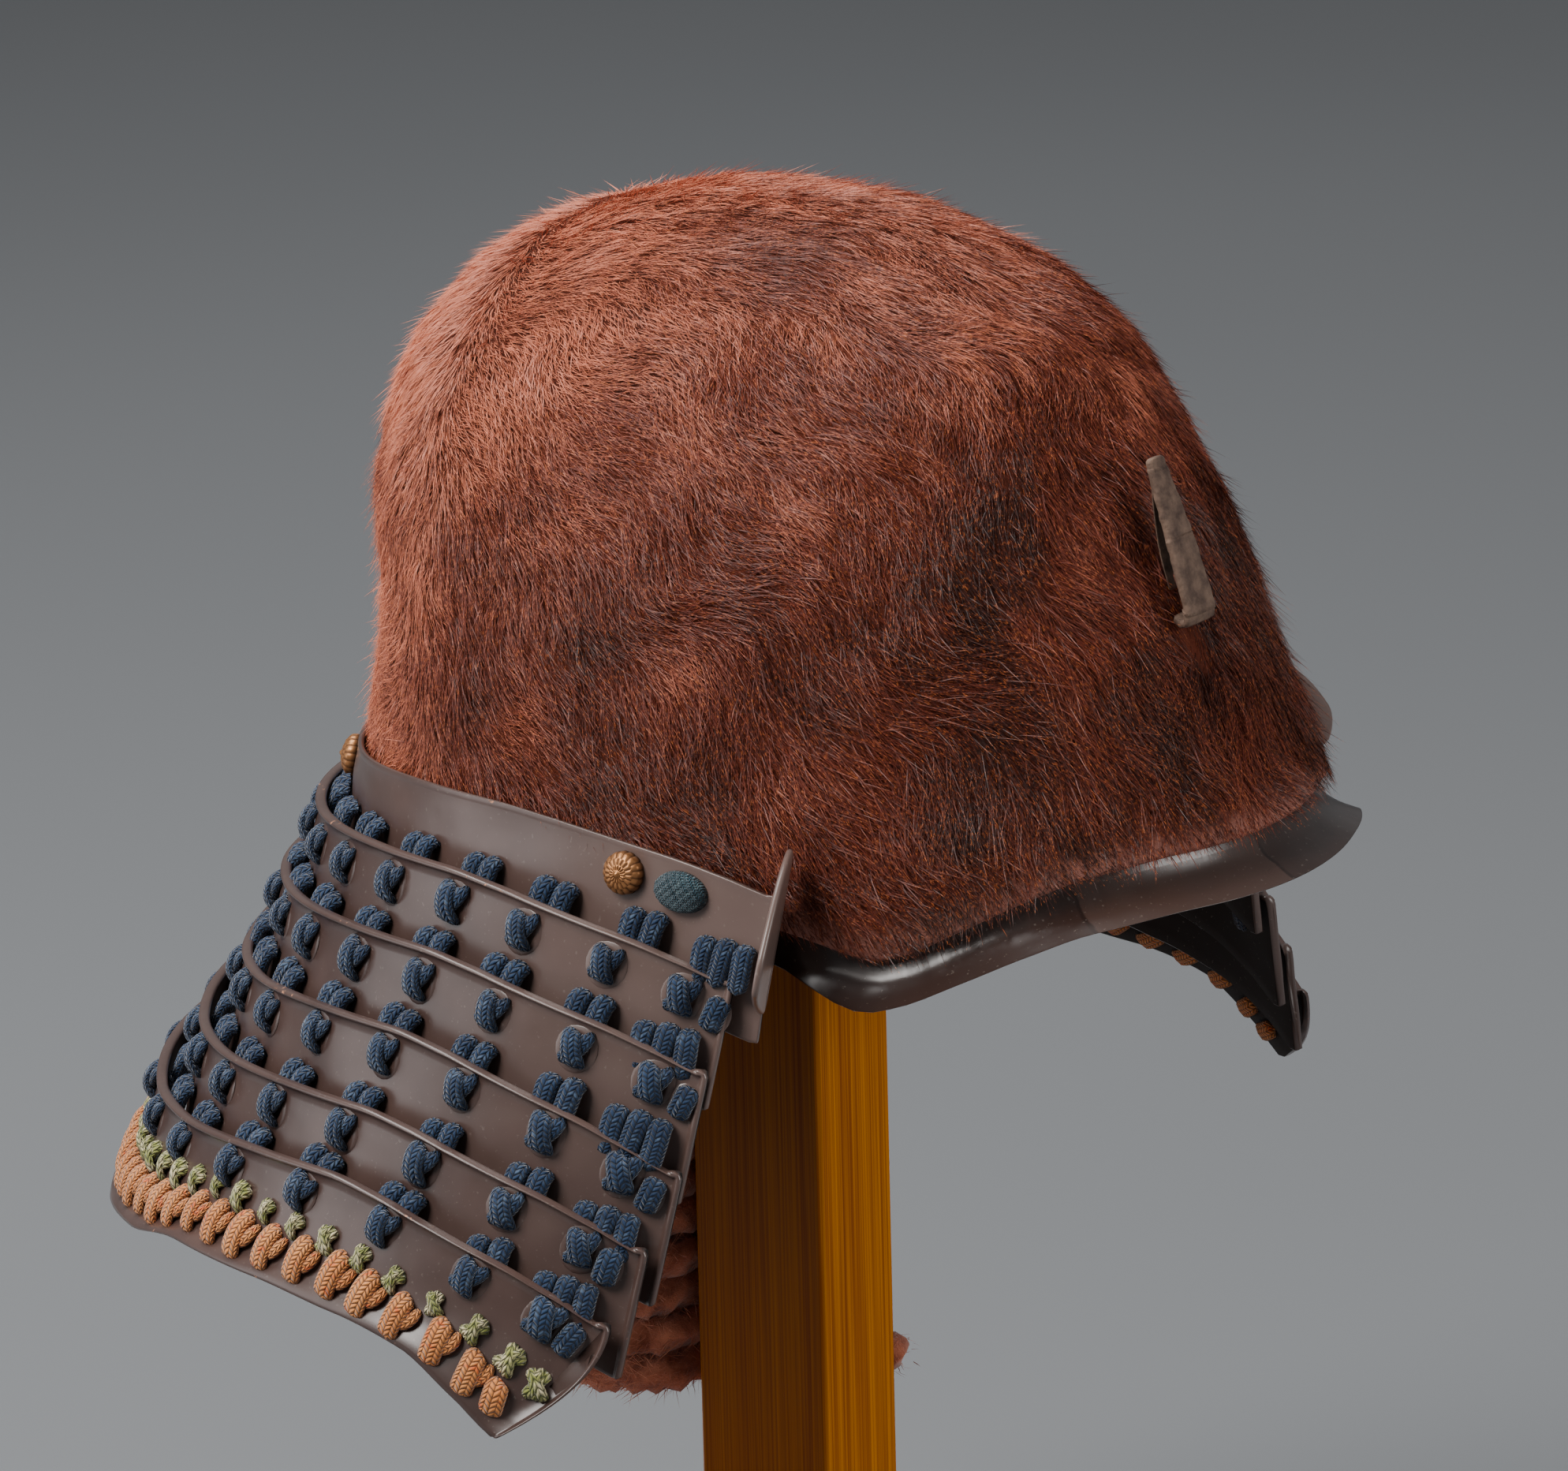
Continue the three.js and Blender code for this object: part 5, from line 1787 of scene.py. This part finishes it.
@dataclass
class Lacing(Assembly):
    """Silk laces through the lames: crossed knots, stubs behind each top edge, and the coloured hem knots."""

    first_angles: tuple[float, ...] = (74.4, 71.0, 71.5, 72.2, 74.0, 75.3)  # of each lame's first column
    column_shares: tuple[float, ...] = (0, 0.082, 0.18, 0.273, 0.375, 0.481, 0.584, 0.688, 0.793, 0.896, 1)
    top_shares: tuple[float, ...] = (0, 0.063, 0.135, 0.237, 0.348, 0.469, 0.575, 0.681, 0.787, 0.894, 1)
    lace_half: float = 2.9
    lace_thick: float = 1.25
    cross_down: tuple[float, ...] = (8.4, 8.4, 8.4, 7.4, 7.4, 6.8)  # below each lame's top edge
    stub_down: tuple[float, ...] = (19.2, 20.4, 20.4, 20.4, 19.4)
    stub_below: float = 3.4
    hem_spin: float = 28.0  # the hem knots lean forward by this, degrees
    hem_start: float = 9.8
    hem_spacing: float = 12.7
    hem_above: Table = Table((0, 40, 66, 100, 160), (3.7, 3.5, 5.8, 6.4, 8.0))
    small_start: float = 7.3
    small_spacing: float = 13.1
    small_above: Table = Table((0, 40, 66, 100, 160), (9.1, 8.3, 11.2, 13.8, 17.0))
    stub_ahead: float = 1.2  # the stubs stand this far in front of their column, degrees
    inner_below: float = 4.0  # the inner runs hang this far below their cross
    single_below: float = 0.8
    single_ahead: float = 8.0  # the single laces stand this far in front of each first column
    crowding: float = 6.5  # the front knots stand closer by this in all
    seat_wide: float = 3.9
    seat_tall: float = 4.4
    seat_rise: float = 0.32
    seat_sides: int = 18
    points: dict[KnotKind, list[Matrix]] = field(default_factory=lambda: {kind: [] for kind in KnotKind})

    INWARDS = Matrix.Rotation(math.pi, 4, "Y")
    # Small knots: the three laces of one, with their shares of a lace's width and thickness.
    TUFT = (
        (0.5, 0.8, (
            (-1.9, 2.6, -0.8), (-1.5, 2.2, 1.1), (0.2, 0.1, 2.0), (1.7, -2.4, 1.0), (1.9, -2.9, -0.8),
        )),
        (0.52, 0.8, (
            (2.0, 2.5, -0.8), (1.6, 2.0, 0.9), (0.1, 0.0, 1.2), (-1.6, -2.3, 0.9), (-1.8, -2.8, -0.8),
        )),
        (0.42, 0.7, (
            (0.3, 3.2, -0.8), (0.5, 2.7, 1.3), (-0.6, 0.4, 1.9), (0.2, -2.4, 1.2), (0.0, -3.2, -0.8),
        )),
    )
    # Crossed knots: the lace that lies under and the lace over it.
    UNDER = (
        (2.6, 4.2, -0.9), (3.0, 3.5, 1.1), (1.9, 1.1, 1.7),
        (-0.9, -1.7, 1.4), (-2.5, -3.0, 1.1), (-2.4, -3.8, -0.9),
    )
    OVER = (
        (-1.0, 4.1, -0.9), (-1.2, 3.3, 1.7), (-0.6, 1.4, 3.0),
        (0.2, -1.2, 3.2), (0.9, -3.1, 2.0), (0.8, -4.0, -0.9),
    )
    STRAIGHT = ((0.7, 3.6, -0.9), (0.6, 3.0, 1.2), (0, 0, 2.2), (-0.6, -3.0, 1.2), (-0.7, -3.6, -0.9))
    TUCKED = ((1.9, 4.3, -0.8), (3.1, 3.3, 0.9), (2.9, 0.9, 1.4), (1.0, -1.3, 1.0))

    def lace(self, work: MeshWork, line: Strand, wide: float, thick: float, rings: int, sides: int) -> None:
        """Adds one stretch of flat lace along a line.

        Args:
            work: The mesh that it is added to.
            line: Points along its middle.
            wide: Share of a lace's full width.
            thick: Share of its full thickness.
            rings: Rings along it.
            sides: Points round a ring.
        """
        path = spline(np.array(line, float), rings)
        upward = np.array([0.0, 0.0, 1.0])
        ring, uv = tube(path, self.lace_half * wide, self.lace_thick * thick, sides, upward=upward)
        work.grid(ring, uv * np.array([2.0, 1.0]), capped=True)

    def add_stubs(self, work: MeshWork, places: Sequence[float]) -> None:
        """Adds laces side by side that drop out of sight behind the next lame, each leaning a little.

        Args:
            work: The mesh that they are added to.
            places: Where each stands along the lame.
        """
        for n, x in enumerate(places):
            odd = n % 2
            lean = 0.075 if odd else -0.045
            ends = ((x, 2.4, -1.2), (x * 0.98, 3.1, 0.9), (x, 2.0, 2.9))
            ends += ((x * 1.02, -0.8, 3.7), (x, -4.2, 4.2), (x, -8.0, 5.2))
            self.lace(work, [(a + lean * b, b + 0.5 * odd, c) for a, b, c in ends], 1.08, 1.55, 14, 10)

    def add_run(self, work: MeshWork, tall: float) -> None:
        """Adds the run of lace on a lame's inner face, of half a height."""
        line = [(0.2, tall, -0.6), (0.2, tall - 1, 0.9), (0, 0, 1.5)]
        line += [(-x, -y, z) for x, y, z in line[1::-1]]
        self.lace(work, line, 1.0, 0.9, 10, 8)

    def add_hem_knot(self, work: MeshWork, tall: float, wide: float) -> None:
        """Adds the plump lace of a hem knot, of half a height and a share of a lace's width."""
        line = [(-1.2, tall, -0.8), (-1.4, tall - 0.8, 1.3), (-0.6, 0.8, 2.5)]
        line += [(0.3, 1.2 - tall, 1.5), (0.5, -tall, -0.8)]
        self.lace(work, line, wide, 1.25, 14, 12)

    def shape(self, kind: KnotKind, material: Material) -> Piece:
        """The mesh of one kind of knot, in its own frame: x along the lame, y up, z out.

        Args:
            kind: The kind of knot.
            material: Its finish.

        Returns:
            The helper object.
        """
        work = MeshWork()
        if kind is KnotKind.CROSS:
            self.lace(work, self.UNDER, 0.74, 1.0, 14, 10)
            self.lace(work, self.OVER, 1.04, 1.1, 16, 12)
        elif kind is KnotKind.SINGLE:
            self.lace(work, self.STRAIGHT, 1.08, 1.1, 12, 10)
        elif kind is KnotKind.PAIR:
            self.add_stubs(work, (-3.1, 3.1))
        elif kind is KnotKind.TRIPLE:
            self.add_stubs(work, (-6.2, -0.4, 5.2))
        elif kind is KnotKind.INNER:
            self.add_run(work, 7.5)
        elif kind is KnotKind.HEM_INNER:
            self.add_run(work, 4.6)
        elif kind is KnotKind.HEM:
            self.lace(work, self.TUCKED, 0.7, 1.0, 10, 8)
            self.add_hem_knot(work, 5.2, 1.14)
        elif kind is KnotKind.HEM_END:
            self.add_hem_knot(work, 3.6, 1.08)
        else:
            for wide, thick, line in self.TUFT:
                self.lace(work, line, wide, thick, 9, 7)
        return work.piece(kind.value + "_shape", material, datum=np.zeros(3))

    def visible(self, upper: LameForm, lower: LameForm, angle: float) -> float:
        """How far below the upper lame's top edge the lower one's begins."""
        turns = (np.array(lame.turn_at(angle, 0.0)) for lame in (upper, lower))
        high, low = (lame.top_and_tall(turn)[0] for lame, turn in zip((upper, lower), turns))
        return float(high - low)

    def place_columns(self) -> None:
        """Works out where the laces of every lame stand."""
        for number, lame in enumerate(LAMES):
            first = self.first_angles[number]
            shares = self.column_shares if number else self.top_shares
            angles = [first + (180.0 - first) * share for share in shares]
            for n, angle in enumerate(angles):
                for side in (-1.0, 1.0) if n < len(angles) - 1 else (1.0,):
                    here = side * angle
                    down = self.cross_down[number]
                    if number:
                        self.points[KnotKind.CROSS].append(lame.frame_at(here, down))
                        inner = lame.frame_at(here, down + self.inner_below, -lame.wall) @ self.INWARDS
                        self.points[KnotKind.INNER].append(inner)
                    if not lame.is_last:
                        shown = self.visible(lame, LAMES[number + 1], here) + self.stub_below
                        shown = min(shown, self.stub_down[number])
                        kind = KnotKind.PAIR if n else KnotKind.TRIPLE
                        self.points[kind].append(lame.frame_at(here + side * self.stub_ahead, shown))
            if number:
                for side in (-1.0, 1.0):
                    single = first - math.degrees(self.single_ahead / lame.side)
                    matrix = lame.frame_at(side * single, self.cross_down[number] + self.single_below)
                    self.points[KnotKind.SINGLE].append(matrix)

    def place_hem(self) -> None:
        """Works out where the coloured knots along the hem stand."""
        lame = LAMES[-1]
        turns = np.linspace(0, 1, 400)
        tall = lame.top_and_tall(turns)[1]
        rows = (
            (KnotKind.HEM, self.hem_above, self.hem_start, self.hem_spacing, 8.0),
            (KnotKind.SMALL, self.small_above, self.small_start, self.small_spacing, 15.0),
        )
        for kind, above, start, spacing, mean in rows:
            line = lame.point(turns, tall - mean, 0 * turns)
            run = run_along(line)
            step = np.arange(60)
            marks = start + spacing * step - self.crowding * (1 - np.exp(-step))
            for place in marks[marks < run[-1]]:
                turn = float(np.interp(run[-1] - place, run, turns))
                down = float(lame.top_and_tall(np.array(turn))[1]) - float(above.at(np.array(place)))
                chosen = KnotKind.HEM_END if kind is KnotKind.HEM and place == marks[0] else kind
                for side in (-1.0, 1.0):
                    spin = Matrix.Rotation(math.radians(-side * self.hem_spin), 4, "Z")
                    self.points[chosen].append(lame.frame_at_turn(side * turn, down) @ spin)
                    if kind is KnotKind.HEM:
                        behind = lame.frame_at_turn(side * turn, down, -lame.wall) @ self.INWARDS
                        self.points[KnotKind.HEM_INNER].append(behind)

    def build_seats(self) -> None:
        """Sets the swollen rim of lacquer round every pair of lacing holes."""
        rise = self.seat_rise
        profile = (
            (0.75, -0.5), (0.88, 0.1), (0.97, 0.8 * rise), (1.05, rise),
            (1.16, 0.8 * rise), (1.28, 0.4 * rise), (1.4, 0.02), (1.5, -0.25),
        )
        turn = circle(self.seat_sides)
        work = MeshWork()
        for kind, wide, tall in (
            (KnotKind.CROSS, self.seat_wide, self.seat_tall),
            (KnotKind.SINGLE, 0.7 * self.seat_wide, 0.8 * self.seat_tall),
        ):
            rings = np.array([oval(turn, wide * share, tall * share, high) for share, high in profile])
            for matrix in self.points[kind]:
                work.turned(rings, matrix)
        settle(work.piece("lacing_seats", self.finishes.lacquer), "lacquer")

    def build(self) -> None:
        """Sets every knot on its place."""
        self.place_columns()
        self.place_hem()
        self.build_seats()
        threads = dict.fromkeys((KnotKind.HEM_INNER, KnotKind.HEM, KnotKind.HEM_END), self.finishes.orange)
        threads[KnotKind.SMALL] = self.finishes.green
        for seed, (kind, frames) in enumerate(self.points.items()):
            material = threads.get(kind, self.finishes.indigo)
            shape = self.shape(kind, material)
            work = MeshWork()
            work.add(np.array([m.translation for m in frames]), [])
            piece = work.piece(kind.value, material, fix=False)
            turns = np.array([m.to_3x3().to_euler() for m in frames])
            set_attribute(piece.data, "turn", "FLOAT_VECTOR", turns)
            vary, twist = (0.14, 0.5) if kind is KnotKind.SMALL else (0.06, 0.09)
            grow(piece, "set_on_points", {
                "Piece": shape, "Finish": material, "Vary": vary, "Twist": twist, "Seed": 70 + seed,
            })
            discard(shape)
            settle(piece, "teal_cord" if material is self.finishes.indigo else "rust_cord")


# ------------------------------ fittings
@dataclass
class Fittings(Assembly):
    """Rivet heads, temple knots, crest prong and its spring."""

    rosette_angles: tuple[float, float] = (84.3, 153.0)
    rosette_radius: float = 5.5
    rosette_dome: float = 3.0
    rosette_rim: float = 1.1
    rosette_below: float = 7.4
    petals: int = 16
    knot_angle: float = 79.6
    knot_below: float = 7.6
    knot_length: float = 15.0
    knot_height: float = 10.4
    knot_out: float = 4.0
    knot_rows: int = 22
    prong: tuple = (  # forward, height, width
        (115.4, 55.5, 9), (119.4, 54.5, 12.2), (121.3, 56.5, 12.6),
        (114.8, 76, 10.6), (108, 94, 6.8), (107.6, 95.4, 5.2),
    )
    prong_wall: float = 2.2
    spring: tuple = ((108.1, 89, 4.4), (108.9, 81, 4.6), (110.2, 72, 4.4), (113, 62, 3.8))
    spring_wall: float = 0.5

    def rosette(self, name: str, matrix: Matrix) -> Piece:
        """A chrysanthemum head of three rings of petals round a small boss.

        Args:
            name: The piece's name.
            matrix: Where it sits.

        Returns:
            The piece.
        """
        turn = circle(self.petals * 6)
        rings, marks = [], []
        for share in np.concatenate([np.linspace(0, 0.16, 4), np.linspace(0.2, 1.0, 22)]):
            tier = min(2, int(share * 3.001 - 0.2)) if share > 0.16 else -1
            phase = tier * math.pi / self.petals
            within = np.clip((share * 3.0 - 0.5) - tier + 0.3, 0, 1) if tier >= 0 else 0
            petal = np.abs(np.sin((turn + phase) * self.petals / 2)) ** 0.55
            rise = self.rosette_dome * math.sqrt(max(0.0, 1 - share**2))
            boss = 0.5 * math.cos(share * math.pi / 0.32) + 0.4
            lift = boss if tier < 0 else 0.42 * petal * (0.5 + 0.5 * within)
            scallop = 1 - 0.05 * (1 - petal) if share > 0.97 else 1.0
            radius = self.rosette_radius * share * scallop
            rings.append(oval(turn, radius, radius, self.rosette_rim + rise + lift))
            marks.append(1 - petal if tier >= 0 else 0 * turn)
        rings += [rings[-1] * np.array([1.0, 1.0, 0.0]), 0 * rings[-1]]
        marks += [1 + 0 * turn] * 2
        work = MeshWork()
        work.turned(np.array(rings), matrix, mark=np.array(marks))
        return work.piece(name, self.finishes.brass)

    def knot(self, name: str, matrix: Matrix) -> Piece:
        """A flat oval knot of plaited cord.

        Args:
            name: The piece's name.
            matrix: Where it sits.

        Returns:
            The piece.
        """
        turn = circle(60)
        rings, uvs = [], []
        for share in np.concatenate([np.linspace(0.0, 1.0, self.knot_rows), [1.0, 0.0]]):
            low = len(rings) >= self.knot_rows
            x, y, _ = oval(turn, self.knot_length / 2 * share, self.knot_height / 2 * share, 0.0).T
            a, b = (x + 0.9 * y) / 2.3, (x - 0.9 * y) / 2.3
            weave = np.abs(np.sin(math.pi * a)) ** 0.6 * 0.5 + np.abs(np.sin(math.pi * b)) ** 0.6 * 0.5
            dome = (self.knot_out - 0.7) * math.sqrt(max(0.0, 1 - share**2.4))
            z = 0 * turn if low else dome + 0.75 * weave * (share < 0.97)
            rings.append(np.column_stack([x, y, z]))
            uvs.append(np.column_stack([a / 3, b / 3]))
        work = MeshWork()
        work.turned(np.array(rings), matrix, np.array(uvs))
        return work.piece(name, self.finishes.teal)

    def bar(self, name: str, rows: tuple, wall: float, rough: float) -> Piece:
        """A flat forged bar along a table of forward, height and width.

        Args:
            name: The piece's name.
            rows: The table, foot first.
            wall: Its thickness.
            rough: Depth of the forging marks.

        Returns:
            The piece.
        """
        table = np.array([(-f, h, w) for f, h, w in rows], float)
        bends = [table[0]]
        for before, here, after in zip(table, table[1:], table[2:]):
            near = [min(0.3, 1.6 / np.linalg.norm(end[:2] - here[:2])) for end in (before, after)]
            middle = here * 0.72 + (before + after) * 0.14 if near[1] > 0.05 else here
            bends += [here + (before - here) * near[0], middle, here + (after - here) * near[1]]
        line = spline(np.array([*bends, table[-1]]), 72)
        ahead = unit(np.gradient(line[:, :2], axis=0))
        c, s = np.cos(circle(20)), np.sin(circle(20))
        x, z = np.sign(c) * np.abs(c) ** 0.35, np.sign(s) * np.abs(s) ** 0.5
        rings = []
        for (back, height, wide), (a, b) in zip(line, ahead):
            middle = np.array([0.0, back, height])
            rings.append(middle + np.outer(x * wide / 2, [1, 0, 0]) + np.outer(z * wall / 2, [0, -b, a]))
        rings = np.array(rings)
        relief = rough * waves(rings, 7.0, 61) + 0.5 * rough * waves(rings, 2.6, 62)
        rings += relief[..., None] * unit(rings - rings.mean(axis=1, keepdims=True))
        for end in (0, -1):
            middle = rings[end].mean(axis=0)
            rings[end] = middle + (rings[end] - middle) * 0.8
        work = MeshWork()
        work.grid(rings, capped=True)
        return work.piece(name, self.finishes.iron)

    def build(self) -> None:
        """Builds and settles the fittings."""
        lame = LAMES[0]
        for label, side in (("left", 1.0), ("right", -1.0)):
            for where, angle in zip(("front", "back"), self.rosette_angles):
                matrix = lame.frame_at(side * angle, self.rosette_below, 0.2)
                node = f"rosette_{where}_{label}"
                settle(self.rosette(f"petals_{where}_{label}", matrix), "brass", node)
            matrix = lame.frame_at(side * self.knot_angle, self.knot_below, 0.2)
            settle(self.knot(f"temple_knot_{label}", matrix), "teal_cord", f"knot_{label}")
        settle(self.bar("prong_forged", self.prong, self.prong_wall, 0.16), "iron", "crest_prong")
        settle(self.bar("spring_leaf", self.spring, self.spring_wall, 0.03), "iron", "prong_spring")


@dataclass
class Stand(Assembly):
    """The wooden stand, whose solids keep their shape and take their wood."""

    upright: tuple[str, ...] = ("stand_post",)
    boards: tuple[str, ...] = ("stand_base", "stand_head")

    def build(self) -> None:
        """Gives each board its wood."""
        woods = ((self.upright, self.finishes.wood_upright), (self.boards, self.finishes.wood_board))
        for names, material in woods:
            for name in names:
                node = frame["nodes"][name]
                if not node.material_slots:
                    node.data.materials.append(material)
                for slot in node.material_slots:
                    slot.material = material
                LOG.info("%s: wood", name)


def main() -> None:
    """Builds the studio and the helmet in order."""
    logging.basicConfig(level=logging.INFO, format="%(name)s %(message)s")
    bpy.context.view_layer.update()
    finishes = Finishes()
    make_hair_tree()
    make_knot_tree()
    Studio().build()
    ChinCord(finishes).build()
    NeckGuard(finishes).build()
    Bowl(finishes).build()
    Lacing(finishes).build()
    Fittings(finishes).build()
    Stand(finishes).build()


if __name__ == "__main__":
    main()
